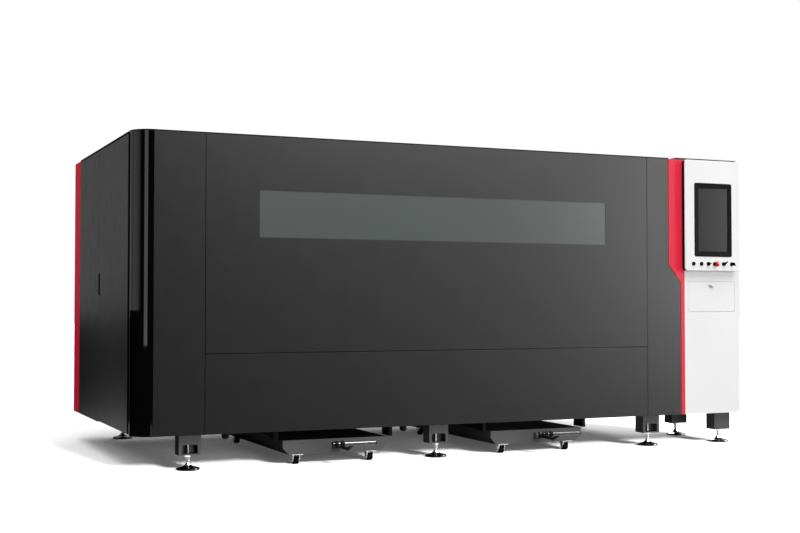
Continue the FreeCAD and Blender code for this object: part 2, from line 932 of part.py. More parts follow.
def cabin_frame():
    """The tube frame behind the panels, with the side door's two hinge brackets."""
    t = frame_tube
    left = frame_left
    right = frame_right
    front = frame_front
    back = frame_back
    low = base_top
    high = rail_low_z
    wall = frame_wall
    posts = [(corner_post_x, corner_radius, front, corner_radius),
             (left_seam_x - t, left_seam_x, front, front + t),
             (right_seam_x, right_seam_x + t, front, front + t), (right - t, right, front, front + t),
             (left, left + t, back - t, back), (right - t, right, back - t, back)]
    for y in (side_seam_y, rear_seam_y):
        posts.append((left, left + t, y - t / 2, y + t / 2))
    for y in (column_depth, rear_seam_y):
        posts.append((right - t, right, y - t / 2, y + t / 2))
    for x in rear_seams():
        posts.append((x - t / 2, x + t / 2, back - t, back))
    solids = [hollow_bar("z", low, high, x0, x1, y0, y1, wall) for x0, x1, y0, y1 in posts]
    solids.append(hollow_bar("x", corner_post_x, right, front, front + t, high, frame_top, wall))
    solids.append(hollow_bar("x", left, right, back - t, back, high, frame_top, wall))
    for x0 in (left, right - t):
        solids.append(hollow_bar("y", front + t, back - t, x0, x0 + t, high, frame_top, wall))
    for x in roof_seams():
        solids.append(hollow_bar("y", front + t, back - t, x - t / 2, x + t / 2, high, frame_top, wall))
    return group(solids + hinge_brackets())


def hinge_brackets():
    """The pivot brackets under and over the side door, each with its pin."""
    x = side_hinge_x
    y = side_hinge_y
    y0 = side_door_front_y
    y1 = y0 + hinge_bracket_length
    low = floor_gap
    pin_low = low + hinge_plate
    bottom = box(hinge_plate, frame_left, y0, y1, low, pin_low)
    bottom = bottom.fuse(rod("z", x, y, pin_low, pin_low + hinge_pin_length, hinge_pin_radius))
    high = cabin_top
    pin_high = high - hinge_plate
    top = box(hinge_plate, frame_left, y0, y1, pin_high, high)
    top = top.fuse(box(frame_left - hinge_plate / 2, frame_left, y0, y1, rail_low_z, pin_high))
    top = top.fuse(rod("z", x, y, pin_high - hinge_pin_length, pin_high, hinge_pin_radius))
    return [bottom, top]


def rear_seams():
    """Where the rear panels meet each other and the corner covers."""
    first = rear_cover_width + half_seam
    last = cabin_length - first
    pitch = (last - first) / rear_panel_count
    return [first + index * pitch for index in range(rear_panel_count + 1)]


def roof_seams():
    """Where the roof panels meet."""
    pitch = (frame_right - frame_left) / roof_panel_count
    return [frame_left + index * pitch for index in range(1, roof_panel_count)]


def corner_cover():
    """The rounded front corner: a rolled sheet with a flange at each edge and a top."""
    r = corner_radius
    z0 = floor_gap
    z1 = cabin_top
    outer = prism("z", [(0.0, 0.0, r), (r, 0.0), (r, r), (0.0, r)], z0, z1)
    inner = prism("z", [(sheet, sheet, r - sheet), (r, sheet), (r, r), (sheet, r)], z0, z1 - sheet)
    inner = inner.common(box(0.0, r - sheet, 0.0, r - sheet, z0, z1))
    cover = outer.cut(inner)
    rooms = ((frame_left, z0, base_top), (corner_post_x, base_top, rail_low_z), (frame_left, rail_low_z, z1))
    for x0, low, high in rooms:
        cover = cover.cut(box(x0, r, frame_front, r, low, high))
    return cover


def front_panels():
    """The fixed front panels: the narrow left one, the right one and the skirt."""
    z0 = floor_gap
    z1 = cabin_top
    left = pan(corner_radius + half_seam, left_seam_x - half_seam, 0.0, fold_depth, z0, z1, "front")
    skirt = pan(left_seam_x + half_seam, right_seam_x - half_seam, 0.0, fold_depth, z0, skirt_top - half_seam,
                "front")
    right = framed_outline(right_panel_corners(0.0), right_panel_corners(sheet))
    return group([left, skirt, right])


def framed_outline(outer_corners, inner_corners):
    """A folded front panel of any outline: its face sheet with an edge flange all round."""
    outer = prism("y", outer_corners, 0.0, fold_depth)
    return outer.cut(prism("y", inner_corners, sheet, fold_depth))


def right_panel_corners(inset):
    """Outline of the right front panel, drawn in by an inset."""
    x0 = right_seam_x + half_seam + inset
    upper = trim_upper_x - half_seam - inset
    lower = trim_lower_x - half_seam - inset
    z0 = floor_gap + inset
    z1 = cabin_top - inset
    return [(x0, z0), (lower, z0), (lower, trim_bend_low_z - inset / 2, trim_bend_radius),
            (upper, trim_bend_high_z - inset / 2, trim_bend_radius), (upper, z1), (x0, z1)]


def trim_corners(inset):
    """Outline of the red trim beside the column, drawn in by an inset."""
    upper = trim_upper_x + half_seam + inset
    lower = trim_lower_x + half_seam + inset
    right = cabin_length - inset
    z0 = floor_gap + inset
    z1 = cabin_top - inset
    bend_shift = (half_seam + inset) / 2
    return [(lower, z0), (right, z0), (right, z1), (upper, z1),
            (upper, trim_bend_high_z + bend_shift, trim_bend_radius),
            (lower, trim_bend_low_z + bend_shift, trim_bend_radius)]


def red_trim():
    """The trim strip that widens above its slanted bend."""
    return framed_outline(trim_corners(0.0), trim_corners(sheet))


def roof_panels():
    """Folded roof panels on the top rails of the frame."""
    edges = [frame_left] + roof_seams() + [frame_right]
    y0 = frame_front + half_seam
    y1 = frame_back - half_seam
    solids = []
    for x0, x1 in zip(edges, edges[1:]):
        solids.append(pan(x0 + half_seam, x1 - half_seam, y0, y1, frame_top, cabin_top, "top"))
    return group(solids)


def side_panels():
    """The fixed side panels: one behind the side door and two on the right."""
    z0 = floor_gap
    z1 = cabin_top
    left = pan(0.0, fold_depth, side_seam_y + half_seam, rear_seam_y - half_seam, z0, z1, "left")
    right_x = cabin_length - fold_depth
    right_front = pan(right_x, cabin_length, fold_depth + half_seam, column_depth - half_seam, base_top, z1,
                      "right")
    right_back = pan(right_x, cabin_length, column_depth + half_seam, rear_seam_y - half_seam, z0, z1, "right")
    return group([left, right_front, right_back])


def rear_corner_covers():
    """The two wrapped corner covers at the back, each closed at its top."""
    r = rear_corner_radius
    y0 = rear_seam_y + half_seam
    y1 = cabin_depth
    x1 = rear_cover_width
    t = sheet
    corners = [(0.0, y0), (0.0, y1, r), (x1, y1), (x1, frame_back), (x1 - t, frame_back), (x1 - t, y1 - t),
               (t, y1 - t, r - t), (t, y0 + t), (fold_depth, y0 + t), (fold_depth, y0)]
    left = prism("z", corners, floor_gap, cabin_top)
    top = prism("z", [(0.0, y0), (0.0, y1, r), (x1, y1), (x1, y0)], cabin_top - t, cabin_top)
    left = left.fuse(top.cut(box(frame_left, x1, y0, frame_back, cabin_top - t, cabin_top)))
    right = left.mirror(Vector(cabin_length / 2, 0, 0), Vector(1, 0, 0))
    return group([left, right])


def rear_panels():
    """Folded rear panels with hooded louvres near the top and the outlet's opening."""
    seams = rear_seams()
    solids = []
    for index in range(rear_panel_count):
        x0 = seams[index] + half_seam
        x1 = seams[index + 1] - half_seam
        panel = pan(x0, x1, frame_back, cabin_depth, floor_gap, cabin_top, "back")
        middle = (x0 + x1) / 2
        for row in range(louvre_count):
            z = louvre_low_z + row * louvre_pitch
            panel = panel.fuse(louvre(middle, z)).cut(louvre_slot(middle, z))
        if x0 < dust_port_x < x1:
            panel = panel.cut(rod("y", dust_port_x, dust_port_z, cabin_depth - sheet, cabin_depth,
                                  dust_port_bore + dust_port_wall))
        solids.append(panel)
    return group(solids)


def louvre(middle, z):
    """A sheet hood that stands out over its slot."""
    y = cabin_depth
    reach = louvre_length / 2
    return prism("x", [(y, z), (y + louvre_rise, z), (y, z + louvre_height)], middle - reach, middle + reach)


def louvre_slot(middle, z):
    """The air slot under a hood, open through the sheet."""
    y = cabin_depth - sheet
    reach = louvre_length / 2 - sheet
    inner_rise = louvre_rise - sheet
    inner_height = louvre_height - 3 * sheet
    return prism("x", [(y, z), (y + inner_rise, z), (y, z + inner_height)], middle - reach, middle + reach)


def dust_port():
    """The round dust outlet: a square flange on the rear panel and a short collar."""
    y0 = cabin_depth
    y1 = y0 + dust_port_flange_thickness
    y2 = y1 + dust_port_length
    x = dust_port_x
    z = dust_port_z
    half = dust_port_flange
    flange = box(x - half, x + half, y0, y1, z - half, z + half)
    body = flange.fuse(rod("y", x, z, y1, y2, dust_port_bore + dust_port_wall))
    return body.cut(rod("y", x, z, y0, y2, dust_port_bore))


# Side door and its handle

def handle_corners(margin):
    """Outline of the handle's dish, larger by a margin."""
    half = handle_width / 2 + margin
    return rectangle(handle_y - half, handle_y + half, handle_low_z - margin, handle_high_z + margin,
                     handle_end_radius + margin)


def side_door():
    """The hinged service door on the left side."""
    y0 = side_door_front_y
    y1 = side_seam_y - half_seam
    z0 = floor_gap + door_end_gap
    z1 = cabin_top - door_end_gap
    body = pan(0.0, door_thickness, y0, y1, z0, z1, "left")
    x = side_hinge_x
    y = side_hinge_y
    half = hinge_boss_width / 2
    for low in (z0, z1 - hinge_boss_height):
        body = body.fuse(box(x - half, x + half, y - half, y + half, low, low + hinge_boss_height))
    bore = hinge_pin_radius + shaft_clearance
    body = body.cut(rod("z", x, y, z0, z0 + hinge_pin_length, bore))
    body = body.cut(rod("z", x, y, z1 - hinge_pin_length, z1, bore))
    return body.cut(prism("x", handle_corners(0.0), 0.0, sheet))


def side_handle_dish():
    """The recessed dish that the swing handle folds into, with the lever's pin."""
    wall = handle_fit_gap + handle_dish_wall
    rim = prism("x", handle_corners(handle_rim), -handle_rim_height, 0.0)
    cup = prism("x", handle_corners(-handle_fit_gap), 0.0, handle_depth)
    room = prism("x", handle_corners(-wall), -handle_rim_height, handle_depth - handle_dish_wall)
    body = rim.fuse(cup).cut(room)
    reach = handle_width / 2 - wall / 2
    return body.fuse(rod("y", handle_lever_x, handle_pin_z, handle_y - reach, handle_y + reach, handle_pin_radius))


def side_handle_lever():
    """The pull lever that swings out of its dish about the pin at its top."""
    half = handle_width / 2 - handle_fit_gap - handle_dish_wall - handle_lever_gap
    y0 = handle_y - half
    y1 = handle_y + half
    x = handle_lever_x
    z = handle_pin_z
    t = handle_lever_thickness / 2
    low = handle_low_z + handle_finger_room
    plate = prism("x", [(y0, low, handle_lever_radius), (y1, low, handle_lever_radius), (y1, z), (y0, z)], x - t,
                  x + t)
    heel = rod("y", x, z, y0, y1, t)
    return plate.fuse(heel).cut(rod("y", x, z, y0, y1, handle_pin_radius + shaft_clearance))


# Lifting front door

def front_door():
    """The lifting door: a folded shell with a long window opening and two stiffeners."""
    x0 = left_seam_x + half_seam
    x1 = right_seam_x - half_seam
    z0 = door_low_z
    z1 = cabin_top
    body = pan(x0, x1, 0.0, door_thickness, z0, z1, "front")
    body = body.cut(prism("y", window_corners(0.0), 0.0, sheet))
    for low_x in (x0 + sheet, x1 - sheet - door_stiffener):
        body = body.fuse(hollow_bar("z", z0 + sheet, z1 - sheet, low_x, low_x + door_stiffener, sheet,
                                    door_thickness, sheet))
    return body


def window_corners(margin):
    """Outline of the door's window, larger by a margin."""
    return rectangle(window_left_x - margin, window_right_x + margin, window_low_z - margin,
                     window_high_z + margin, window_radius)


def door_window():
    """The dark safety glass, bonded behind the window opening."""
    return prism("y", window_corners(window_overlap), sheet, sheet + window_glass)


def mirrored_on_door(shape):
    """The same piece at the other edge of the front door."""
    return shape.mirror(Vector((left_seam_x + right_seam_x) / 2, 0, 0), Vector(1, 0, 0))


def door_shoes():
    """Four shoes on the door's back, two on each guide."""
    solids = []
    rail_y = frame_front + guide_setback
    back_y = rail_y + guide_width + guide_setback
    x0 = left_seam_x + shoe_margin
    x1 = left_seam_x + guide_height + shoe_thickness
    groove_x = left_seam_x + guide_height + running_gap
    for z in (shoe_low_z, shoe_high_z):
        shoe = box(x0, x1, door_thickness, back_y, z, z + shoe_length)
        groove = box(x0, groove_x, rail_y - running_gap, rail_y + guide_width + running_gap, z, z + shoe_length)
        shoe = shoe.cut(groove)
        solids += [shoe, mirrored_on_door(shoe)]
    return group(solids)


def door_guides():
    """The upright guide rails on the front posts, with a rubber stop at each foot."""
    rail_y = frame_front + guide_setback
    x0 = left_seam_x
    x1 = x0 + guide_height
    rail = box(x0, x1, rail_y, rail_y + guide_width, door_low_z, rail_low_z)
    stop = box(x1, x1 + shoe_thickness, rail_y - stop_setback, rail_y + guide_width, shoe_low_z - stop_height,
               shoe_low_z)
    one_side = [rail, stop]
    return group(one_side + [mirrored_on_door(solid) for solid in one_side])


# Control column

def column_shell():
    """The column's panels, with the keyboard recess behind the front one."""
    x0 = column_left
    x1 = column_right
    y1 = column_depth
    z0 = floor_gap
    z1 = cabin_top
    t = sheet
    front = pan(x0, x1, 0.0, column_fold, z0, z1, "front")
    opening = rectangle(flap_left_x - seam, flap_right_x + seam, flap_low_z - seam, flap_high_z + seam,
                        flap_radius + half_seam)
    front = front.cut(prism("y", opening, 0.0, t))
    left = box(x0, x0 + t, column_fold, y1 - column_fold, base_top, z1)
    right = pan(x1 - column_fold, x1, column_fold, y1 - column_fold, z0, z1, "right")
    back = pan(x0, x1, y1 - column_fold, y1, z0, z1, "back")
    middle = (x0 + x1) / 2
    reach = louvre_length / 2
    for row in range(louvre_count):
        z = floor_gap + column_louvre_rise + row * louvre_pitch
        back = back.cut(box(middle - reach, middle + reach, y1 - t, y1, z, z + louvre_rise))
    return group([front, left, right, back, keyboard_recess(), flap_striker()])


def keyboard_recess():
    """The recess box with its shelf and the two pins that the flap turns on."""
    w = recess_wall
    y0 = sheet
    y1 = recess_depth
    outer = box(recess_left - w, recess_right + w, y0, y1, recess_low - w, recess_high + w)
    body = outer.cut(box(recess_left, recess_right, y0, y1 - w, recess_low, recess_high))
    body = body.fuse(box(recess_left, recess_right, shelf_front_y, y1 - w, shelf_z - w, shelf_z))
    for low in (recess_left, recess_right - flap_pin_length):
        body = body.fuse(rod("x", flap_hinge_y, flap_hinge_z, low, low + flap_pin_length, flap_pin_radius))
    return body


def flap_striker():
    """The plate under the recess's ceiling that the flap's cam turns behind."""
    half = striker_width / 2
    return box(latch_x - half, latch_x + half, flap_thickness - striker_depth, flap_thickness,
               flap_high_z + striker_gap, recess_high)


def column_cap():
    """The dark cap plate over the column, which laps onto the roof."""
    x0 = column_left - cap_overlap
    x1 = column_right - cap_edge_gap
    y0 = cap_front_y
    r = cap_radius
    corners = [(x0, y0), (x1, y0, r), (x1, column_depth, r), (x0, column_depth)]
    return prism("z", corners, cabin_top, cabin_top + cap_thickness)


def console_rectangle(inset, radius):
    """Outline of the console's front, drawn in by an inset."""
    return rectangle(console_left_x + inset, console_left_x + console_width - inset, console_low_z + inset,
                     console_high_z - inset, radius)


def console_body():
    """The console's body, a shallow tray that stands out from the column."""
    outer = prism("y", console_rectangle(console_inset, fascia_radius - console_inset), fascia_back_y, 0.0)
    inset = console_inset + console_wall
    inner = prism("y", console_rectangle(inset, fascia_radius - inset), fascia_back_y, -console_wall)
    return outer.cut(inner)


def screen_rectangle(inset, radius=0.0):
    """Outline of the screen, drawn in by an inset."""
    return rectangle(screen_left_x + inset, screen_left_x + screen_width - inset, screen_low_z + inset,
                     screen_low_z + screen_height - inset, radius)


def control_places():
    """Where the six controls stand along their row."""
    return (start_x, stop_x, selector_x, emergency_x, lever_x, key_x)


def console_fascia():
    """The console's front plate with the screen opening and the holes for the controls."""
    plate = prism("y", console_rectangle(0.0, fascia_radius), fascia_front_y, fascia_back_y)
    rim = [edge for edge in plate.Edges if edge.BoundBox.YMax < fascia_front_y + touching]
    plate = plate.makeChamfer(fascia_bevel, rim)
    plate = plate.cut(prism("y", screen_rectangle(-screen_fit_gap, screen_radius), fascia_front_y, fascia_back_y))
    for x in control_places():
        hole = rod("y", x, controls_z, fascia_front_y, fascia_back_y, collar_sleeve_radius + collar_hole_gap)
        plate = plate.cut(hole)
    return plate


def screen_bezel():
    """The screen's frame with its sloped inner border, and the housing behind it."""
    front_y = fascia_front_y - screen_proud
    glass_y = front_y + screen_slope
    housing_y = glass_y + screen_glass
    frame = prism("y", screen_rectangle(0.0, screen_radius), front_y, fascia_back_y)
    wide = outline("y", front_y, screen_rectangle(screen_lip))
    narrow = outline("y", glass_y, screen_rectangle(screen_border))
    frame = frame.cut(Part.makeLoft([wide, narrow], True, True))
    frame = frame.cut(prism("y", screen_rectangle(screen_border), glass_y, fascia_back_y))
    housing = prism("y", screen_rectangle(screen_housing_border), housing_y, housing_y + screen_housing_depth)
    return frame.fuse(housing)


def touch_screen():
    """The glass of the touch screen."""
    glass_y = fascia_front_y - screen_proud + screen_slope
    return prism("y", screen_rectangle(screen_border), glass_y, glass_y + screen_glass)


def switch_collars():
    """Threaded collars of the six controls, each with its contact block behind."""
    solids = []
    bore = plunger_radius + plunger_clearance
    z = controls_z
    half = contact_size / 2
    block_y = collar_back_y + contact_depth
    for x in control_places():
        proud = emergency_collar_y if x == emergency_x else collar_front_y
        collar = rod("y", x, z, proud, fascia_front_y, collar_radius)
        collar = collar.fuse(rod("y", x, z, fascia_front_y, collar_back_y, collar_sleeve_radius))
        solids.append(collar.cut(rod("y", x, z, proud, collar_back_y, bore)))
        solids.append(box(x - half, x + half, collar_back_y, block_y, z - half, z + half))
    return group(solids)


def plunger(x, front_y, travel):
    """The round plunger of a pressed control, which stops short of its contact block."""
    return rod("y", x, controls_z, front_y, turning_back_y - travel, plunger_radius)


def push_button(x):
    """A flat push button that stands out from its collar."""
    return plunger(x, collar_front_y - button_proud, button_travel)


def emergency_button():
    """The mushroom emergency stop with its bevelled head, on its plunger."""
    head_back = emergency_collar_y - emergency_travel - emergency_seat_gap
    head_front = head_back - emergency_head_height
    head = rod("y", emergency_x, controls_z, head_front, head_back, emergency_head_radius)
    front_rim = [edge for edge in head.Edges if edge.BoundBox.YMax < head_front + touching]
    head = head.makeChamfer(emergency_bevel, front_rim)
    return head.fuse(plunger(emergency_x, head_back, emergency_travel))


def knob(x, bar_length, degrees, shift):
    """A turning knob with a round-ended bar handle, on its stem."""
    back = collar_front_y - knob_gap
    front = back - knob_height
    z = controls_z
    disc = rod("y", x, z, front, back, knob_radius)
    half = bar_width / 2
    reach = bar_length / 2
    bar = prism("y", rectangle(x - reach + shift, x + reach + shift, z - half, z + half, half), front - bar_height,
                front)
    bar = turned(bar, x, 0.0, z, "y", -degrees)
    return disc.fuse(bar).fuse(plunger(x, back, 0.0))


def mode_selector():
    """The short two-way selector."""
    return knob(selector_x, selector_bar_length, selector_angle, 0.0)


def lever_switch():
    """The selector with the long lever that points up to the right."""
    return knob(lever_x, lever_bar_length, lever_angle, lever_shift)


def key_switch():
    """The lock cylinder with its key."""
    x = key_x
    z = controls_z
    front = collar_front_y - knob_gap - key_face
    half = key_thickness / 2
    blade_y = front - key_blade_length
    bow_y = blade_y - key_bow_height
    blade = box(x - half, x + half, blade_y, front, z - key_blade_width / 2, z + key_blade_width / 2)
    bow = prism("x", rectangle(bow_y, blade_y, z - key_bow_width / 2, z + key_bow_width / 2, key_bow_radius),
                x - half, x + half)
    hole = rod("x", (bow_y + blade_y) / 2, z, x - half, x + half, key_hole_radius)
    key = turned(blade.fuse(bow.cut(hole)), x, 0.0, z, "y", key_angle)
    return plunger(x, front, 0.0).fuse(key)


# Keyboard behind its flap

def keyboard_flap():
    """The drop-down flap: a folded tray with a pivot boss at each lower corner."""
    x0 = flap_left_x
    x1 = flap_right_x
    z0 = flap_low_z
    z1 = flap_high_z
    w = sheet
    outer = prism("y", rectangle(x0, x1, z0, z1, flap_radius), 0.0, flap_thickness)
    inner = prism("y", rectangle(x0 + w, x1 - w, z0 + w, z1 - w, flap_radius - w), w, flap_thickness)
    body = outer.cut(inner)
    boss = flap_thickness
    for low in (x0, x1 - boss):
        block = box(low, low + boss, 0.0, boss, z0, z0 + boss)
        body = body.fuse(block.common(outer))
    bore = flap_pin_radius + shaft_clearance
    reach = flap_pin_length - seam + flap_bore_end_gap
    for low in (x0, x1 - reach):
        body = body.cut(rod("x", flap_hinge_y, flap_hinge_z, low, low + reach, bore))
    return body.cut(rod("y", latch_x, latch_z, 0.0, w, latch_stem_radius + shaft_clearance))


def flap_latch():
    """The turn latch of the flap: a winged knob, its stem and its cam behind."""
    x = latch_x
    z = latch_z
    front = -running_gap
    face = front - latch_disc_thickness
    disc = rod("y", x, z, face, front, latch_disc_radius)
    half = latch_wing_width / 2
    reach = latch_wing_length / 2
    wing = prism("y", rectangle(x - reach, x + reach, z - half, z + half, half), face - latch_wing_height, face)
    wing = turned(wing, x, 0.0, z, "y", latch_angle)
    cam_y = flap_thickness + running_gap
    cam_back = cam_y + latch_cam_thickness
    stem = rod("y", x, z, front, cam_back, latch_stem_radius)
    half_cam = latch_cam_width / 2
    cam = box(x - half_cam, x + latch_cam_length, cam_y, cam_back, z - half_cam, z + half_cam)
    return disc.fuse(wing).fuse(stem).fuse(cam)


def keyboard():
    """The sealed keyboard on its shelf, with rows of moulded keys."""
    middle = (flap_left_x + flap_right_x) / 2
    x0 = middle - keyboard_width / 2
    x1 = middle + keyboard_width / 2
    y0 = shelf_front_y + keyboard_margin
    y1 = y0 + keyboard_depth
    top = shelf_z + keyboard_height
    body = box(x0, x1, y0, y1, shelf_z, top)
    m = keyboard_margin
    pitch_x = (keyboard_width - 2 * m) / keys_per_row
    pitch_y = (keyboard_depth - 2 * m) / key_rows
    solids = [body]
    for row in range(key_rows):
        for column in range(keys_per_row):
            key_x0 = x0 + m + column * pitch_x
            key_y0 = y0 + m + row * pitch_y
            solids.append(box(key_x0, key_x0 + pitch_x - key_gap, key_y0, key_y0 + pitch_y - key_gap, top,
                              top + key_height))
    return solids[0].multiFuse(solids[1:]).removeSplitter()


# Slag trolleys

def trolley_corners(centre, inset):
    """Section of a trolley's tray with its slanted lower corners, drawn in by an inset."""
    x0 = centre - trolley_width / 2
    x1 = centre + trolley_width / 2
    z0 = trolley_low_z
    slant = math.hypot(trolley_chamfer_x, trolley_chamfer_z)
    foot = trolley_chamfer_x + inset * (slant - trolley_chamfer_x) / trolley_chamfer_z
    shoulder = z0 + trolley_chamfer_z + inset * (slant - trolley_chamfer_z) / trolley_chamfer_x
    return [(x0 + foot, z0 + inset), (x1 - foot, z0 + inset), (x1 - inset, shoulder), (x1 - inset, trolley_high_z),
            (x0 + inset, trolley_high_z), (x0 + inset, shoulder)]


def trolley_tray(centre):
    """The welded slag tray with the two ears that hold its drawbar."""
    t = trolley_sheet
    body = prism("y", trolley_corners(centre, 0.0), trolley_front_y, trolley_back_y)
    body = body.cut(prism("y", trolley_corners(centre, t), trolley_front_y + t, trolley_back_y - t))
    r = handle_ear_radius
    for side in (-1.0, 1.0):
        middle = centre + side * handle_ear_gap / 2
        half = handle_ear_thickness / 2
        ear = rod("x", handle_pivot_y, handle_pivot_z, middle - half, middle + half, r)
        ear = ear.fuse(box(middle - half, middle + half, handle_pivot_y, trolley_front_y, handle_pivot_z - r,
                           handle_pivot_z + r))
        body = body.fuse(ear)
    pin_reach = handle_ear_gap / 2
    pin = rod("x", handle_pivot_y, handle_pivot_z, centre - pin_reach, centre + pin_reach, axle_radius)
    return body.fuse(pin)


def drawbar_path(centre):
    """The drawbar's centre line: level out from its pivot, then up to the crossbar."""
    start = Vector(centre, handle_pivot_y, handle_pivot_z)
    bend = Vector(centre, handle_pivot_y - drawbar_level_length, handle_pivot_z - drawbar_drop)
    end = Vector(centre, bend.y - drawbar_rise_length, bend.z + drawbar_rise_height)
    return start, bend, end


def trolley_drawbar(centre):
    """The bent drawbar with the hub that turns on the pin between the ears."""
    start, bend, end = drawbar_path(centre)
    y = handle_pivot_y
    z = handle_pivot_z
    width = handle_ear_gap / 2 - handle_ear_thickness / 2 - drawbar_hub_gap
    hub = rod("x", y, z, centre - width, centre + width, drawbar_hub_radius)
    first = Part.makeCylinder(drawbar_radius, start.distanceToPoint(bend), start, bend.sub(start))
    second = Part.makeCylinder(drawbar_radius, bend.distanceToPoint(end), bend, end.sub(bend))
    elbow = Part.makeSphere(drawbar_radius, bend)
    bar = hub.fuse(first).fuse(elbow).fuse(second)
    bar = bar.cut(rod("x", y, z, centre - width, centre + width, axle_radius + shaft_clearance))
    half = crossbar_length / 2
    return bar.cut(rod("x", end.y, end.z, centre - half, centre + half, crossbar_radius))


def trolley_crossbar(centre):
    """The round crossbar that the hands pull."""
    end = drawbar_path(centre)[2]
    half = crossbar_length / 2
    bar = rod("x", end.y, end.z, centre - half, centre + half, crossbar_radius)
    return bar.makeChamfer(crossbar_bevel, [edge for edge in bar.Edges if len(edge.Vertexes) == 1])


def wheel_places(centre):
    """Where a trolley's four casters stand across its width."""
    reach = trolley_width / 2 - wheel_inset
    return (centre - reach, centre + reach)


def caster_forks(centre):
    """The four casters' plates, fork legs and bolted axles."""
    solids = []
    half_plate = fork_plate_width / 2
    half_length = fork_plate_length / 2
    inner = wheel_width / 2 + wheel_side_gap
    reach = inner + fork_wall
    top = trolley_low_z
    low_z = top - fork_plate
    foot_z = wheel_radius - fork_foot_drop
    for x in wheel_places(centre):
        for y in (wheel_front_y, wheel_rear_y):
            fork = box(x - half_plate, x + half_plate, y - half_length, y + half_length, low_z, top)
            cheek = [(y - fork_top_length / 2, low_z), (y - fork_foot_length / 2, foot_z),
                     (y + fork_foot_length / 2, foot_z), (y + fork_top_length / 2, low_z)]
            for side in (-reach, inner):
                fork = fork.fuse(prism("x", cheek, x + side, x + side + fork_wall))
            fork = fork.fuse(rod("x", y, wheel_radius, x - inner, x + inner, axle_radius))
            for side in (-reach - axle_head_height, reach):
                head = hexagon(y, wheel_radius, axle_head_width)
                fork = fork.fuse(prism("x", head, x + side, x + side + axle_head_height))
            solids.append(fork)
    return group(solids)


def wheel_pair(centre, y):
    """Two caster wheels on one line, with bevelled treads."""
    solids = []
    half = wheel_width / 2
    b = wheel_bevel
    z = wheel_radius
    bore = z + axle_radius + shaft_clearance
    rim = z + wheel_radius
    for x in wheel_places(centre):
        section = [(x - half, bore), (x + half, bore), (x + half, rim - b), (x + half - b, rim),
                   (x - half + b, rim), (x - half, rim - b)]
        face = Part.Face(outline("y", y, section))
        solids.append(face.revolve(Vector(x, y, z), Vector(1, 0, 0), 360))
    return group(solids)


# All the pieces, by name

def trolley_nodes(number, centre):
    """The nodes of one trolley."""
    name = "trolley_%d_" % number
    return {
        name + "tray": trolley_tray(centre),
        name + "drawbar": trolley_drawbar(centre),
        name + "crossbar": trolley_crossbar(centre),
        name + "caster_forks": caster_forks(centre),
        name + "front_wheels": wheel_pair(centre, wheel_front_y),
        name + "rear_wheels": wheel_pair(centre, wheel_rear_y),
    }


def build_nodes():
    """Every node of the machine in its modelling place."""
    nodes = {
        "base_frame": base_frame(),
        "machine_legs": machine_legs(),
        "level_pads": level_pads(),
        "level_screws": level_screws(),
        "trolley_guides": trolley_guides(),
        "drain_stubs": drain_stubs(),
        "bed_frame": bed_frame(),
        "table_slats": table_slats(),
        "slag_chutes": slag_chutes(),
        "x_rails": x_rails(),
        "gantry_beam": gantry_beam(),
        "x_motors": x_motors(),
        "x_pinions": x_pinions(),
        "y_carriage": y_carriage(),
        "z_slide": z_slide(),
        "cutting_head": cutting_head(),
        "cabin_frame": cabin_frame(),
        "corner_cover": corner_cover(),
        "front_panels": front_panels(),
        "red_trim": red_trim(),
        "roof_panels": roof_panels(),
        "side_panels": side_panels(),
        "rear_corner_covers": rear_corner_covers(),
        "rear_panels": rear_panels(),
        "dust_port": dust_port(),
        "side_door": side_door(),
        "side_handle_dish": side_handle_dish(),
        "side_handle_lever": side_handle_lever(),
        "front_door": front_door(),
        "door_window": door_window(),
        "door_shoes": door_shoes(),
        "door_guides": door_guides(),
        "column_shell": column_shell(),
        "column_cap": column_cap(),
        "console_body": console_body(),
        "console_fascia": console_fascia(),
        "screen_bezel": screen_bezel(),
        "touch_screen": touch_screen(),
        "switch_collars": switch_collars(),
        "start_button": push_button(start_x),
        "stop_button": push_button(stop_x),
        "mode_selector": mode_selector(),
        "emergency_button": emergency_button(),
        "lever_switch": lever_switch(),
        "key_switch": key_switch(),
        "keyboard_flap": keyboard_flap(),
        "flap_latch": flap_latch(),
        "keyboard": keyboard(),
    }
    for number, centre in enumerate(trolley_centres_x, start=1):
        nodes.update(trolley_nodes(number, centre))
    return nodes


def origin_shift(nodes):
    """The move that brings the bounding box's bottom centre to the origin."""
    bounds = FreeCAD.BoundBox()
    for shape in nodes.values():
        bounds.add(shape.optimalBoundingBox(False, False))
    centre_x = (bounds.XMin + bounds.XMax) / 2
    centre_y = (bounds.YMin + bounds.YMax) / 2
    return Vector(-round(centre_x, 3), -round(centre_y, 3), -round(bounds.ZMin, 3))


def main():
    """Build every node, centre the machine and write one file for each node."""
    os.makedirs("parts", exist_ok=True)
    nodes = build_nodes()
    shift = origin_shift(nodes)
    for name, shape in nodes.items():
        shape.translate(shift)
        shape.exportStep("parts/" + name + ".step")
    print("nodes", len(nodes), "shift", shift.x, shift.y, shift.z)


if __name__ == "__main__":
    main()
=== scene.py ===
"""Looks of the closed laser cutting machine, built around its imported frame.

Every length is in metres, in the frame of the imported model: +X runs along the
front, +Y to the back and +Z up, and the floor is at z = 0.
"""

from __future__ import annotations

import json  # noqa: E402
import logging  # noqa: E402
import math  # noqa: E402
from dataclasses import dataclass  # noqa: E402
from enum import Enum  # noqa: E402

import bmesh  # noqa: E402
import bpy  # noqa: E402
from mathutils import Matrix, Vector  # noqa: E402


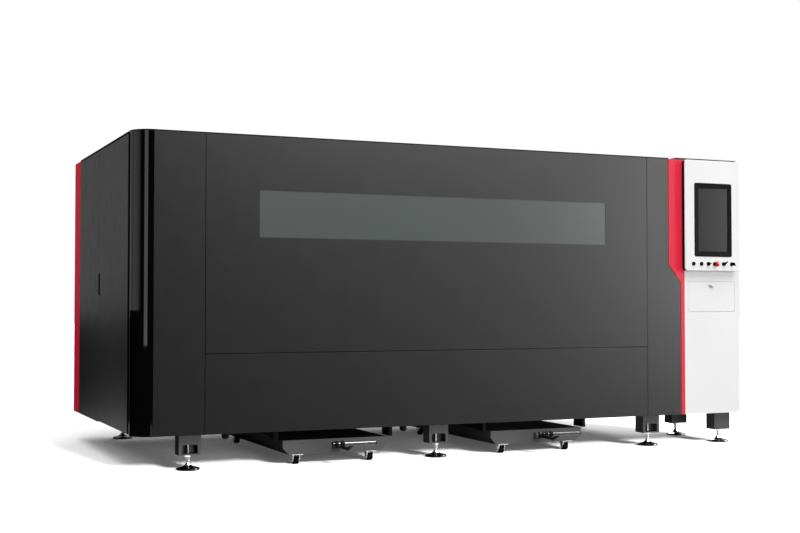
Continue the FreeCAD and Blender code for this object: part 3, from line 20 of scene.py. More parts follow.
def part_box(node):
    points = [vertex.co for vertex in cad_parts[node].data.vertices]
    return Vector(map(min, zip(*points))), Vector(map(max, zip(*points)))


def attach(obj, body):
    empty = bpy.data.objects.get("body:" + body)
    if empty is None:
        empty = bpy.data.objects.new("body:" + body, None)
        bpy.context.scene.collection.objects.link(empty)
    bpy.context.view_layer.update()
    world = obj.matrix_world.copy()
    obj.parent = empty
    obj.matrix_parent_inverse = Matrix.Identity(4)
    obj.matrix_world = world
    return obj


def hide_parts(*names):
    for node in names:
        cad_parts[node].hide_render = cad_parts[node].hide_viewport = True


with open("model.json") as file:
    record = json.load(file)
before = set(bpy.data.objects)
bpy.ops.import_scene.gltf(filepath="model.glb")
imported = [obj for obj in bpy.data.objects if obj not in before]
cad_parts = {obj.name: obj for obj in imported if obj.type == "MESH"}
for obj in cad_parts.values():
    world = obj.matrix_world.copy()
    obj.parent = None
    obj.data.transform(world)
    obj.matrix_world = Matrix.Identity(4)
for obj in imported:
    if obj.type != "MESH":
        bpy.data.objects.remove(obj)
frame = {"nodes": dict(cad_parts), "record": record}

log = logging.getLogger("laser_machine")
WELD = 0.00001
UP = Vector((0.0, 0.0, 1.0))
FORWARD = Vector((0.0, -1.0, 0.0))
BACKWARD = Vector((0.0, 1.0, 0.0))
ACROSS = Vector((1.0, 0.0, 0.0))
FULL_TURN = 2 * math.pi
SMOOTH_BELOW = math.radians(38.0)
BEVEL_STEPS = 2
BEVEL_SHAPE = 0.6
LEAST_MITRE = 0.2
HEXAGON = 6
NOISE_LOW = 0.3
NOISE_HIGH = 0.7
FLAG_CENTRE = (-2.25, -0.95)
WHITE = (1.0, 1.0, 1.0, 1.0)
Colour = tuple[float, float, float]
Rgba = tuple[float, float, float, float]
Profile = list[tuple[float, float]]
Socket = bpy.types.NodeSocket


def grey(value: float) -> Colour:
    """A neutral linear colour."""
    return (value, value, value)


def scaled(colour: Colour, factor: float) -> Rgba:
    """A linear colour times a factor, with full alpha."""
    return tuple(min(1.0, part * factor) for part in colour) + (1.0,)


class Grain(Enum):
    """Which way the fine lines of a metal run."""

    X = (0.02, 1.0, 1.0)
    Y = (1.0, 0.02, 1.0)
    NONE = (1.0, 1.0, 1.0)


class Wiring:
    """Short calls that wire one material's nodes."""

    def __init__(self, name: str) -> None:
        """Start a new material.

        Args:
            name: name of the finish.
        """
        self.material = bpy.data.materials.new(name)
        self.material.use_nodes = True
        self.tree = self.material.node_tree
        self.surface = self.tree.nodes["Principled BSDF"]
        self.place = self.tree.nodes.new("ShaderNodeTexCoord").outputs["Object"]

    def set(self, **values: object) -> None:
        """Set the shader's own sockets, named with underscores for spaces."""
        for key, value in values.items():
            self.surface.inputs[key.replace("_", " ")].default_value = value

    def stretched(self, factors: tuple[float, float, float]) -> Socket:
        """The object's coordinates, scaled on each axis."""
        node = self.tree.nodes.new("ShaderNodeMapping")
        node.inputs["Scale"].default_value = factors
        self.tree.links.new(self.place, node.inputs["Vector"])
        return node.outputs["Vector"]

    def noise(self, scale: float, detail: float = 2.0, place: Socket | None = None) -> Socket:
        """A noise value.

        Args:
            scale: cells in each metre.
            detail: number of finer layers.
            place: coordinates to read; the object's own when left out.

        Returns:
            The noise factor from 0 to 1.
        """
        node = self.tree.nodes.new("ShaderNodeTexNoise")
        node.inputs["Scale"].default_value = scale
        node.inputs["Detail"].default_value = detail
        self.tree.links.new(place or self.place, node.inputs["Vector"])
        return node.outputs["Fac"]

    def between(self, factor: Socket, low: float, high: float) -> Socket:
        """A factor's middle range, mapped to run from low to high."""
        node = self.tree.nodes.new("ShaderNodeMapRange")
        limits = {"From Min": NOISE_LOW, "From Max": NOISE_HIGH, "To Min": low, "To Max": high}
        for key, value in limits.items():
            node.inputs[key].default_value = value
        self.tree.links.new(factor, node.inputs["Value"])
        return node.outputs["Result"]

    def blend(self, factor: Socket, first: Rgba, second: Rgba) -> Socket:
        """Two colours mixed by a factor."""
        node = self.tree.nodes.new("ShaderNodeMix")
        node.data_type = "RGBA"
        self.tree.links.new(factor, node.inputs["Factor"])
        node.inputs["A"].default_value = first
        node.inputs["B"].default_value = second
        return node.outputs["Result"]

    def colour(self, socket: Socket) -> None:
        """Feed the base colour."""
        self.tree.links.new(socket, self.surface.inputs["Base Color"])

    def roughness(self, socket: Socket) -> None:
        """Feed the roughness."""
        self.tree.links.new(socket, self.surface.inputs["Roughness"])

    def mottle(self, base: Colour, share: float, scale: float, detail: float = 2.0) -> None:
        """Feed a cloudy base colour.

        Args:
            base: the middle colour.
            share: how much darker and lighter it gets.
            scale: clouds in each metre.
            detail: number of finer layers.
        """
        factor = self.noise(scale, detail)
        self.colour(self.blend(factor, scaled(base, 1 - share), scaled(base, 1 + share)))

    def uneven(self, gloss: float, share: float, scale: float) -> None:
        """Feed a roughness that drifts by a share of itself."""
        factor = self.noise(scale)
        self.roughness(self.between(factor, gloss * (1 - share), gloss * (1 + share)))

    def bump(self, height: Socket, depth: float) -> None:
        """Feed the normal from a height value of a given depth in metres."""
        node = self.tree.nodes.new("ShaderNodeBump")
        node.inputs["Strength"].default_value = 1.0
        node.inputs["Distance"].default_value = depth
        self.tree.links.new(height, node.inputs["Height"])
        self.tree.links.new(node.outputs["Normal"], self.surface.inputs["Normal"])


@dataclass(frozen=True)
class Paint:
    """A sprayed coat with slight cloudiness and a fine orange-peel skin."""

    name: str
    base: Colour
    gloss: float
    specular: float = 0.5
    cloud: float = 0.05
    cloud_scale: float = 1.7
    gloss_drift: float = 0.04
    gloss_scale: float = 9.0
    peel: float = 0.00002
    peel_scale: float = 420.0

    def build(self) -> bpy.types.Material:
        """The finished material."""
        wiring = Wiring(self.name)
        wiring.set(Specular_IOR_Level=self.specular)
        wiring.mottle(self.base, self.cloud, self.cloud_scale, 3.0)
        wiring.uneven(self.gloss, self.gloss_drift, self.gloss_scale)
        wiring.bump(wiring.noise(self.peel_scale, 1.0), self.peel)
        return wiring.material


@dataclass(frozen=True)
class Metal:
    """Bare or plated metal with lines along its grain."""

    name: str
    base: Colour
    gloss: float
    grain: Grain = Grain.NONE
    scale: float = 300.0
    depth: float = 0.00003
    stain: float = 0.08
    stain_scale: float = 6.0
    smoother: float = 0.8
    rougher: float = 1.25

    def build(self) -> bpy.types.Material:
        """The finished material."""
        wiring = Wiring(self.name)
        wiring.set(Metallic=1.0)
        lines = wiring.noise(self.scale, 3.0, wiring.stretched(self.grain.value))
        wiring.mottle(self.base, self.stain, self.stain_scale, 4.0)
        low, high = self.gloss * self.smoother, self.gloss * self.rougher
        wiring.roughness(wiring.between(lines, low, high))
        wiring.bump(lines, self.depth)
        return wiring.material


@dataclass(frozen=True)
class Plastic:
    """Moulded plastic or rubber with a fine spark-eroded grain."""

    name: str
    base: Colour
    gloss: float
    specular: float = 0.5
    grain_scale: float = 1800.0
    depth: float = 0.00002
    cloud: float = 0.06
    cloud_scale: float = 40.0
    gloss_drift: float = 0.1
    gloss_scale: float = 60.0

    def build(self) -> bpy.types.Material:
        """The finished material."""
        wiring = Wiring(self.name)
        wiring.set(Specular_IOR_Level=self.specular)
        wiring.mottle(self.base, self.cloud, self.cloud_scale)
        wiring.uneven(self.gloss, self.gloss_drift, self.gloss_scale)
        wiring.bump(wiring.noise(self.grain_scale, 1.0), self.depth)
        return wiring.material


@dataclass(frozen=True)
class Pane:
    """Dark coated glass, taken as opaque, with a slow ripple in its face."""

    name: str
    base: Colour
    gloss: float
    specular: float = 0.5
    ripple: float = 0.0002
    ripple_scale: float = 3.0
    cloud: float = 0.05
    cloud_scale: float = 0.9
    gloss_drift: float = 0.02
    gloss_scale: float = 0.6

    def build(self) -> bpy.types.Material:
        """The finished material."""
        wiring = Wiring(self.name)
        wiring.set(Specular_IOR_Level=self.specular)
        wiring.mottle(self.base, self.cloud, self.cloud_scale)
        wiring.uneven(self.gloss, self.gloss_drift, self.gloss_scale)
        wiring.bump(wiring.noise(self.ripple_scale, 0.0), self.ripple)
        return wiring.material


FINISHES = {
    "dark_panel": Paint("dark_panel_paint", grey(0.003), 0.47, specular=0.065, cloud=0.03),
    "roof_sheet": Paint("matt_roof_paint", grey(0.016), 0.8, specular=0.0),
    "gloss_black": Paint("gloss_black_paint", grey(0.002), 0.05, specular=0.14, peel=0.000002),
    "red_paint": Paint("red_trim_paint", (0.76, 0.012, 0.046), 0.6, specular=0.035),
    "white_paint": Paint("white_column_paint", grey(0.86), 0.6, specular=0.03),
    "black_paint": Paint("black_frame_paint", grey(0.006), 0.5, specular=0.02),
    "frame_grey": Paint("grey_leg_paint", grey(0.125), 0.6, specular=0.0),
    "bare_steel": Metal("bare_steel", grey(0.42), 0.42, stain=0.2),
    "ground_steel": Metal("ground_steel", grey(0.6), 0.22, Grain.X),
    "chrome_metal": Metal("chrome_plating", grey(0.5), 0.12, depth=0.0, stain=0.05),
    "satin_tube": Metal("satin_tube", grey(0.028), 0.36, depth=0.0, stain=0.05),
    "beam_alloy": Metal("milled_alloy", grey(0.62), 0.34, Grain.Y),
    "motor_black": Paint("motor_casing_paint", grey(0.014), 0.45),
    "dark_glass": Pane("safety_window", (0.026, 0.037, 0.032), 0.25, specular=0.4),
    "screen_glass": Pane("screen_glass", grey(0.010), 0.25, specular=0.034, ripple=0.00002),
    "black_plastic": Plastic("black_plastic", grey(0.005), 0.7, specular=0.005),
    "red_plastic": Plastic("red_plastic", (0.66, 0.002, 0.016), 0.3, specular=0.15),
    "grey_plastic": Plastic("grey_plastic", grey(0.2), 0.45, specular=0.2),
    "black_rubber": Plastic("black_rubber", grey(0.005), 0.7, specular=0.01),
}


class Dresser:
    """Gives every node of the frame its finish."""

    def __init__(self) -> None:
        """Build each finish once."""
        self.made = {slot: finish.build() for slot, finish in FINISHES.items()}

    def dress_nodes(self) -> None:
        """Give each node the finish of its slot in the record, and the roof a matt one."""
        for entry in frame["record"]["subparts"]:
            self.dress(frame["nodes"][entry["node"]], entry["material_slot"])
        self.dress(frame["nodes"]["roof_panels"], "roof_sheet")

    def dress(self, piece: bpy.types.Object, finish: str) -> None:
        """Give one piece a finish.

        Args:
            piece: the mesh to dress.
            finish: key of the finish, which for most is a slot of the record.
        """
        piece.data.materials.clear()
        piece.data.materials.append(self.made[finish])
        log.info("dressed %s in %s", piece.name, finish)


class Piece:
    """A mesh in the making, which may gather several like forms."""

    def __init__(self, name: str) -> None:
        """Start an empty mesh.

        Args:
            name: name of the finished piece.
        """
        self.name = name
        self.mesh = bmesh.new()

    def rings(self, rows: list[list[Vector]], closed: bool = False) -> None:
        """Skin rows of points, and close the two ends where the rows don't meet.

        Args:
            rows: rings of points; a ring of one point is a tip.
            closed: the last row joins the first.
        """
        made = [[self.mesh.verts.new(point) for point in row] for row in rows]
        pairs = list(zip(made, made[1:])) + ([(made[-1], made[0])] if closed else [])
        for first, second in pairs:
            for index in range(max(len(first), len(second))):
                after = (index + 1) % max(len(first), len(second))
                if len(first) == 1:
                    self.mesh.faces.new((first[0], second[after], second[index]))
                elif len(second) == 1:
                    self.mesh.faces.new((first[index], first[after], second[0]))
                else:
                    self.mesh.faces.new((first[index], first[after], second[after], second[index]))
        for row in () if closed else (made[0], made[-1]):
            if len(row) > 1:
                self.mesh.faces.new(row)

    def turned(
        self, profile: Profile, centre: Vector, axis: Vector = UP, segments: int = 40
    ) -> None:
        """Revolve a profile about an axis.

        Args:
            profile: (radius, height along the axis) points; a radius of 0 is a tip.
            centre: the point at height 0.
            axis: direction of the axis.
            segments: steps round the axis.
        """
        place = Matrix.Translation(centre) @ axis.to_track_quat("Z", "Y").to_matrix().to_4x4()
        rows = []
        for radius, height in profile:
            steps = segments if radius else 1
            angles = [FULL_TURN * step / segments for step in range(steps)]
            rows.append([
                place @ Vector((radius * math.cos(angle), radius * math.sin(angle), height))
                for angle in angles
            ])
        self.rings(rows)

    def swept(
        self, path: list[Vector], normal: Vector, section: Profile, closed: bool = False
    ) -> None:
        """Sweep a section along a flat path with mitred corners.

        Args:
            path: corner points of the path.
            normal: direction square to the path's plane.
            section: (to the path's right side, along the normal) offsets.
            closed: the path is a loop.
        """
        rows = []
        for index, point in enumerate(path):
            before = path[index - 1] if closed or index else point
            after = path[(index + 1) % len(path)] if closed or index < len(path) - 1 else point
            came, goes = (point - before).normalized(), (after - point).normalized()
            sides = [step.cross(normal) for step in (came, goes) if step.length]
            side = sum(sides, Vector()).normalized()
            stretch = 1.0 / max(LEAST_MITRE, side.dot(sides[0]))
            rows.append([point + side * (out * stretch) + normal * up for out, up in section])
        self.rings(rows, closed)

    def block(
        self, low: Vector, high: Vector, bevel: float, turn: float = 0.0, axis: Vector = FORWARD
    ) -> None:
        """A block with rounded edges.

        Args:
            low: lowest corner.
            high: highest corner.
            bevel: radius of every edge.
            turn: degrees that the block is turned by.
            axis: axis of the turn, through the block's middle.
        """
        middle, size = (low + high) / 2, high - low
        place = Matrix.Translation(middle) @ Matrix.Rotation(math.radians(turn), 4, axis)
        matrix = place @ Matrix.Diagonal((*size, 1.0))
        made = bmesh.ops.create_cube(self.mesh, size=1.0, matrix=matrix)
        edges = {edge for vert in made["verts"] for edge in vert.link_edges}
        bmesh.ops.bevel(
            self.mesh, geom=list(edges), offset=bevel, segments=BEVEL_STEPS,
            profile=BEVEL_SHAPE, affect="EDGES",
        )

    def fit(
        self,
        dresser: Dresser,
        slot: str,
        body: str = "root",
        replaces: tuple[str, ...] = (),
        finish: str = "",
    ) -> None:
        """Finish the mesh, dress it and let it ride.

        Args:
            dresser: holds the finishes.
            slot: the record's slot that its finish comes from.
            body: the body that carries it.
            replaces: the nodes that it stands for.
            finish: a finish of its own, where the slot's isn't right.
        """
        bmesh.ops.recalc_face_normals(self.mesh, faces=self.mesh.faces)
        data = bpy.data.meshes.new(self.name)
        self.mesh.to_mesh(data)
        self.mesh.free()
        data.shade_smooth()
        data.set_sharp_from_angle(angle=SMOOTH_BELOW)
        piece = bpy.data.objects.new(self.name, data)
        bpy.context.scene.collection.objects.link(piece)
        dresser.dress(piece, finish or slot)
        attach(piece, body)
        if replaces:
            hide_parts(*replaces)


@dataclass(frozen=True)
class Box:
    """The lowest and highest corner of a form."""

    low: Vector
    high: Vector

    @property
    def middle(self) -> Vector:
        """The box's middle."""
        return (self.low + self.high) / 2


def node_box(node: str) -> Box:
    """The box of a whole node."""
    low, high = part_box(node)
    return Box(Vector(low), Vector(high))


def solids_of(node: str) -> list[Box]:
    """The boxes of a node's separate solids.

    Args:
        node: name of the node.

    Returns:
        One box for each connected piece of its mesh, from left to right.
    """
    copy = bmesh.new()
    copy.from_mesh(frame["nodes"][node].data)
    bmesh.ops.remove_doubles(copy, verts=copy.verts, dist=WELD)
    waiting = set(copy.verts)
    boxes = []
    while waiting:
        group, rim = [], [waiting.pop()]
        while rim:
            vert = rim.pop()
            group.append(vert.co.copy())
            for near in (link.other_vert(vert) for link in vert.link_edges):
                if near in waiting:
                    waiting.remove(near)
                    rim.append(near)
        axes = list(zip(*group))
        boxes.append(Box(Vector(min(axis) for axis in axes), Vector(max(axis) for axis in axes)))
    copy.free()
    return sorted(boxes, key=lambda box: (round(box.low.x, 3), round(box.low.y, 3)))


@dataclass(frozen=True)
class LevelFeet:
    """The levelling feet: a domed pad, a threaded stem with its hub and a lock nut."""

    rim: float = 0.0145
    hub_radius: float = 0.0185
    pitch: float = 0.003
    thread_depth: float = 0.0011
    chamfer: float = 0.0025
    least_rod: float = 0.05

    def build(self, dresser: Dresser) -> None:
        """Build the pads and the stems of all feet."""
        pads, stems, nuts = Piece("foot_pads"), Piece("foot_stems"), Piece("foot_nuts")
        for box in solids_of("level_pads"):
            radius = (box.high.x - box.low.x) / 2
            base = Vector((box.middle.x, box.middle.y, box.low.z))
            pads.turned(self.pad_profile(radius, box.high.z), base, segments=64)
            stems.turned(self.hub_profile(box.high.z), base, segments=32)
        for box in solids_of("level_screws"):
            foot = Vector((box.middle.x, box.middle.y, 0.0))
            if box.high.z - box.low.z > self.least_rod:
                stems.turned(self.thread_profile(box), foot, segments=24)
            else:
                nuts.turned(self.nut_profile(box), foot, segments=HEXAGON)
        pads.fit(dresser, "gloss_black", replaces=("level_pads",))
        stems.fit(dresser, "chrome_metal", replaces=("level_screws",))
        nuts.fit(dresser, "chrome_metal")

    def pad_profile(self, radius: float, top: float) -> Profile:
        """A low dome with a thick rounded rim."""
        r, rim, hub = radius, self.rim, self.hub_radius
        return [(0.0, 0.0), (r - 0.004, 0.0), (r - 0.001, 0.0015), (r, 0.005), (r, rim - 0.005),
                (r - 0.0018, rim - 0.0012), (r - 0.006, rim), (r * 0.74, rim + 0.004),
                (r * 0.5, rim + 0.0075), (hub + 0.006, top - 0.008), (hub + 0.003, top - 0.005),
                (0.0, top - 0.005)]

    def hub_profile(self, top: float) -> Profile:
        """The bright ball hub that the stem stands in."""
        r = self.hub_radius
        return [(0.0, top - 0.012), (r + 0.003, top - 0.0075), (r + 0.002, top - 0.003),
                (r - 0.002, top + 0.003), (r - 0.0055, top + 0.009), (0.0, top + 0.012)]

    def thread_profile(self, box: Box) -> Profile:
        """The threaded rod, with a groove for each turn."""
        outer = (box.high.x - box.low.x) / 2
        inner = outer - self.thread_depth
        profile: Profile = [(0.0, box.low.z)]
        turns = int((box.high.z - box.low.z - self.chamfer) / self.pitch)
        for turn in range(turns):
            z = box.low.z + turn * self.pitch
            profile += [(inner, z), (outer, z + self.pitch * 0.4), (outer, z + self.pitch * 0.6)]
        top = box.high.z
        tip = [(inner, top - self.chamfer), (inner - self.chamfer, top), (0.0, top)]
        return profile + tip

    def nut_profile(self, box: Box) -> Profile:
        """A hexagon nut with chamfered corners."""
        r = (box.high.x - box.low.x) / 2
        return [(0.0, box.low.z), (r - self.chamfer, box.low.z), (r, box.low.z + self.chamfer),
                (r, box.high.z - self.chamfer), (r - self.chamfer, box.high.z), (0.0, box.high.z)]


@dataclass(frozen=True)
class TrolleyFittings:
    """What dresses a slag trolley: its grip bar with plugs and collars, and the caster races,
    whose black is painted shade.
    """

    plug_length: float = 0.012
    collar_pitch: float = 0.052
    collar_width: float = 0.026
    collar_rise: float = 0.006
    edge: float = 0.0022
    wall: float = 0.0025
    race_radius: float = 0.027
    race_height: float = 0.009
    plate: float = 0.0035
    segments: int = 48

    def build(self, dresser: Dresser) -> None:
        """Build the fittings of both trolleys."""
        for name in ("trolley_1", "trolley_2"):
            self.grip_bar(dresser, name)
            self.races(dresser, name)

    def grip_bar(self, dresser: Dresser, name: str) -> None:
        """The satin tube between two black plugs, with two collars near its left end.

        Args:
            dresser: holds the finishes.
            name: name of the trolley.
        """
        box = node_box(name + "_crossbar")
        radius = (box.high.z - box.low.z) / 2
        centre = Vector((box.low.x, box.middle.y, box.middle.z))
        length = box.high.x - box.low.x
        e, wall = self.edge, radius - self.wall
        start, end = self.plug_length * 0.5, length - self.plug_length * 0.5
        tube = Piece(name + "_grip_tube")
        outline = [(0.0, start), (wall, start), (radius - e / 2, start), (radius, start + e / 2),
                   (radius, end - e / 2), (radius - e / 2, end), (0.0, end)]
        tube.turned(outline, centre, ACROSS, self.segments)
        tube.fit(dresser, "chrome_metal", name + "_handle", (name + "_crossbar",), "satin_tube")
        plugs = Piece(name + "_grip_plugs")
        plug = [(0.0, 0.0), (radius - e, 0.0), (radius - e / 3, e / 3), (radius, e),
                (radius, start), (wall, start + e), (0.0, self.plug_length)]
        plugs.turned(plug, centre, ACROSS, self.segments)
        plugs.turned(plug, centre + ACROSS * length, -ACROSS, self.segments)
        r, w = radius + self.collar_rise, self.collar_width
        for near in (self.plug_length, self.collar_pitch):
            collar = [(0.0, near), (r - e, near), (r, near + e), (r, near + w - e),
                      (r - e, near + w), (0.0, near + w)]
            plugs.turned(collar, centre, ACROSS, self.segments)
        plugs.fit(dresser, "black_rubber", name + "_handle")

    def races(self, dresser: Dresser, name: str) -> None:
        """The ball race between each caster's top plate and its fork: a real part, in black rubber
        that stands in for the shade under the plate, as painted shade.
        """
        races = Piece(name + "_caster_shade_races")
        r, h = self.race_radius, self.race_height
        race = [(0.0, 0.0), (r - 0.003, 0.0), (r, h * 0.3), (r, h * 0.6), (r - 0.004, h), (0.0, h)]
        for box in solids_of(name + "_caster_forks"):
            top = Vector((box.middle.x, box.middle.y, box.high.z - self.plate))
            races.turned(race, top, -UP)
        # Black rubber here is painted shade under the caster's top plate.
        races.fit(dresser, "black_rubber", name)


@dataclass(frozen=True)
class DrainPlugs:
    """The round black plugs with domed ends under the skirt."""

    dome: float = 0.018
    steps: int = 8

    def build(self, dresser: Dresser) -> None:
        """Build both plugs."""
        plugs = Piece("drain_plugs")
        for box in solids_of("drain_stubs"):
            r, h = (box.high.x - box.low.x) / 2, box.high.z - box.low.z
            arc = [FULL_TURN / 4 * step / self.steps for step in range(self.steps + 1)]
            dome = [(r * math.sin(angle), self.dome * (1 - math.cos(angle))) for angle in arc]
            foot = Vector((box.middle.x, box.middle.y, box.low.z))
            plugs.turned(dome + [(r, h), (0.0, h)], foot)
        plugs.fit(dresser, "black_paint", replaces=("drain_stubs",))


@dataclass(frozen=True)
class GuideInserts:
    """Black inserts that fill the slots of the trolleys' guide blocks, so that the slots read
    dark.
    """

    slot_length: float = 0.096
    slot_height: float = 0.038
    clearance: float = 0.0012
    recess: float = 0.003
    bevel: float = 0.0015
    steps: int = 12

    def build(self, dresser: Dresser) -> None:
        """Build one insert in each block."""
        inserts = Piece("guide_inserts")
        for box in solids_of("trolley_guides"):
            start, end, bevel = box.low.x + self.recess, box.high.x - self.recess, self.bevel
            places = ((start, bevel), (start + bevel, 0.0), (end - bevel, 0.0), (end, bevel))
            inserts.rings([
                [Vector((x, y, z)) for y, z in self.outline(box.middle, shrink + self.clearance)]
                for x, shrink in places
            ])
        inserts.fit(dresser, "black_plastic")

    def outline(self, middle: Vector, shrink: float) -> list[tuple[float, float]]:
        """A long hole's outline, smaller all round by a given amount."""
        radius = self.slot_height / 2 - shrink
        reach = self.slot_length / 2 - self.slot_height / 2
        points = []
        for side, start in ((1.0, -math.pi / 2), (-1.0, math.pi / 2)):
            for step in range(self.steps + 1):
                angle = start + math.pi * step / self.steps
                y = middle.y + side * reach + radius * math.cos(angle)
                points.append((y, middle.z + radius * math.sin(angle)))
        return points


@dataclass(frozen=True)
class RoofEdging:
    """The thin black capping along the top edges of the cabin and of the lifting door.

    A flat lip carries it down over the top of the rear side panel.
    """

    height: float = 0.008
    width: float = 0.040
    round: float = 0.002
    inset: float = 0.0008
    lip: float = 0.0012
    gap: float = 0.004
    door_margin: float = 0.002
    arc_steps: int = 16

    def build(self, dresser: Dresser) -> None:
        """Build the fixed capping and the door's own."""
        corner, door, trim = node_box("corner_cover"), node_box("front_door"), node_box("red_trim")
        panels, side = node_box("front_panels"), node_box("side_panels")
        top = corner.high.z
        radius = corner.high.x - corner.low.x
        fixed = Piece("roof_edging")
        path = [Vector((corner.low.x, side.high.y, top))]
        for step in range(self.arc_steps + 1):
            angle = math.pi + math.pi / 2 * step / self.arc_steps
            x = corner.high.x + radius * math.cos(angle)
            path.append(Vector((x, corner.high.y + radius * math.sin(angle), top)))
        path.append(Vector((door.low.x - self.gap, corner.low.y, top)))
        fixed.swept(path, UP, self.section(self.width))
        right = [Vector((door.high.x + self.gap, panels.low.y, top)),
                 Vector((trim.low.x, panels.low.y, top))]
        fixed.swept(right, UP, self.section(self.width))
        hatch = node_box("side_door")
        fixed.block(Vector((side.low.x - self.lip, hatch.high.y + self.gap, hatch.high.z)),
                    Vector((side.low.x, side.high.y, top + self.round)), self.lip / 3)
        fixed.fit(dresser, "black_plastic")
        moving = Piece("lift_door_edging")
        edge = [Vector((x, door.low.y, door.high.z)) for x in (door.low.x, door.high.x)]
        moving.swept(edge, UP, self.section(door.high.y - door.low.y - self.door_margin))
        moving.fit(dresser, "black_plastic", "lift_door")

    def section(self, width: float) -> Profile:
        """A low strip with rounded upper edges, inward from the panel's face."""
        h, r, o = self.height, self.round, self.inset
        return [(-o, 0.0), (-o, h - r), (-o - r * 0.3, h - r * 0.3), (-o - r, h),
                (-width + r, h), (-width + r * 0.3, h - r * 0.3), (-width, h - r), (-width, 0.0)]


@dataclass(frozen=True)
class DoorGapShadeLip:
    """A black rubber lip on the rounded cover, where the side door closes; its black stands in for
    the shade in the deep gap between cover and door, as painted shade.
    """

    thickness: float = 0.0018
    proud: float = 0.008
    depth: float = 0.016
    bevel: float = 0.0006

    def build(self, dresser: Dresser) -> None:
        """Build the lip along the door's height."""
        cover, door = node_box("corner_cover"), node_box("side_door")
        lip = Piece("side_door_gap_shade_lip")
        low = Vector((cover.low.x - self.proud, cover.high.y, door.low.z))
        high = Vector((cover.low.x + self.depth, cover.high.y + self.thickness, door.high.z))
        lip.block(low, high, self.bevel)
        # The lip's black rubber is painted shade for the deep gap between cover and door.
        lip.fit(dresser, "black_rubber")


@dataclass(frozen=True)
class SwitchRow:
    """The row of switches: a smooth mushroom head and a key in its lock."""

    neck: float = 0.0105
    key_tilt: float = 28.0
    barrel: float = 0.0095
    blade_half: tuple[float, float] = (0.0012, 0.0045)
    blade_start: float = 0.018
    blade_bevel: float = 0.0003
    bow_half: tuple[float, float] = (0.0032, 0.0135)
    bow_length: float = 0.022
    bow_bevel: float = 0.0028

    def build(self, dresser: Dresser) -> None:
        """Build the mushroom head and the key."""
        box = node_box("emergency_button")
        radius = (box.high.x - box.low.x) / 2
        reach = box.high.y - box.low.y
        head = Piece("mushroom_head")
        neck, r = self.neck, radius
        shape = [(0.0, 0.0), (neck, 0.0), (neck, reach - 0.024), (neck + 0.002, reach - 0.0225),
                 (r - 0.002, reach - 0.0205), (r - 0.0003, reach - 0.0185), (r, reach - 0.0155),
                 (r * 0.975, reach - 0.0115), (r * 0.89, reach - 0.0075),
                 (r * 0.72, reach - 0.004), (r * 0.48, reach - 0.0015),
                 (r * 0.22, reach - 0.0003), (0.0, reach)]
        head.turned(shape, Vector((box.middle.x, box.high.y, box.middle.z)), FORWARD, 56)
        head.fit(dresser, "red_plastic", "emergency_button", ("emergency_button",))
        self.key(dresser)

    def key(self, dresser: Dresser) -> None:
        """The lock's barrel, and the key with its black bow."""
        box = node_box("key_switch")
        collars = solids_of("switch_collars")
        face = [ring for ring in collars if ring.low.x < box.middle.x < ring.high.x][-1].low.y
        centre = Vector((box.middle.x, box.high.y, box.middle.z))
        depth = box.high.y - face
        lock = Piece("key_lock")
        b = self.barrel
        shape = [(0.0, 0.0), (b, 0.0), (b, depth + 0.001), (b - 0.0008, depth + 0.0018),
                 (0.0, depth + 0.0018)]
        lock.turned(shape, centre, FORWARD)
        w, h = self.blade_half
        low = Vector((centre.x - w, box.low.y + self.blade_start, centre.z - h))
        high = Vector((centre.x + w, face, centre.z + h))
        lock.block(low, high, self.blade_bevel, self.key_tilt)
        lock.fit(dresser, "black_plastic", "key_switch", ("key_switch",))
        bow = Piece("key_bow")
        w, h = self.bow_half
        low = Vector((centre.x - w, box.low.y, centre.z - h))
        high = Vector((centre.x + w, box.low.y + self.bow_length, centre.z + h))
        bow.block(low, high, self.bow_bevel, self.key_tilt)
        bow.fit(dresser, "black_plastic", "key_switch")


@dataclass(frozen=True)
class FlapGapLightSeal:
    """A pale seal strip round the keyboard flap's edge, which fills the gap with pale paint where
    its shade would fall: a seal with painted light.
    """

    proud: float = 0.0024
    set_back: float = 0.0008
    depth: float = 0.010

    def build(self, dresser: Dresser) -> None:
        """Build the strip on the flap's four edges."""
        box = node_box("keyboard_flap")
        y = box.low.y + self.set_back
        loop = [Vector((box.low.x, y, box.low.z)), Vector((box.high.x, y, box.low.z)),
                Vector((box.high.x, y, box.high.z)), Vector((box.low.x, y, box.high.z))]
        seal = Piece("flap_gap_light_seal")
        p, d = self.proud, self.depth
        seal.swept(loop, BACKWARD, [(0.0, 0.0), (-p, 0.0004), (-p, d), (0.0, d)], closed=True)
        # The seal's pale paint is painted light where the gap's shade would fall.
        seal.fit(dresser, "white_paint", "keyboard_flap")


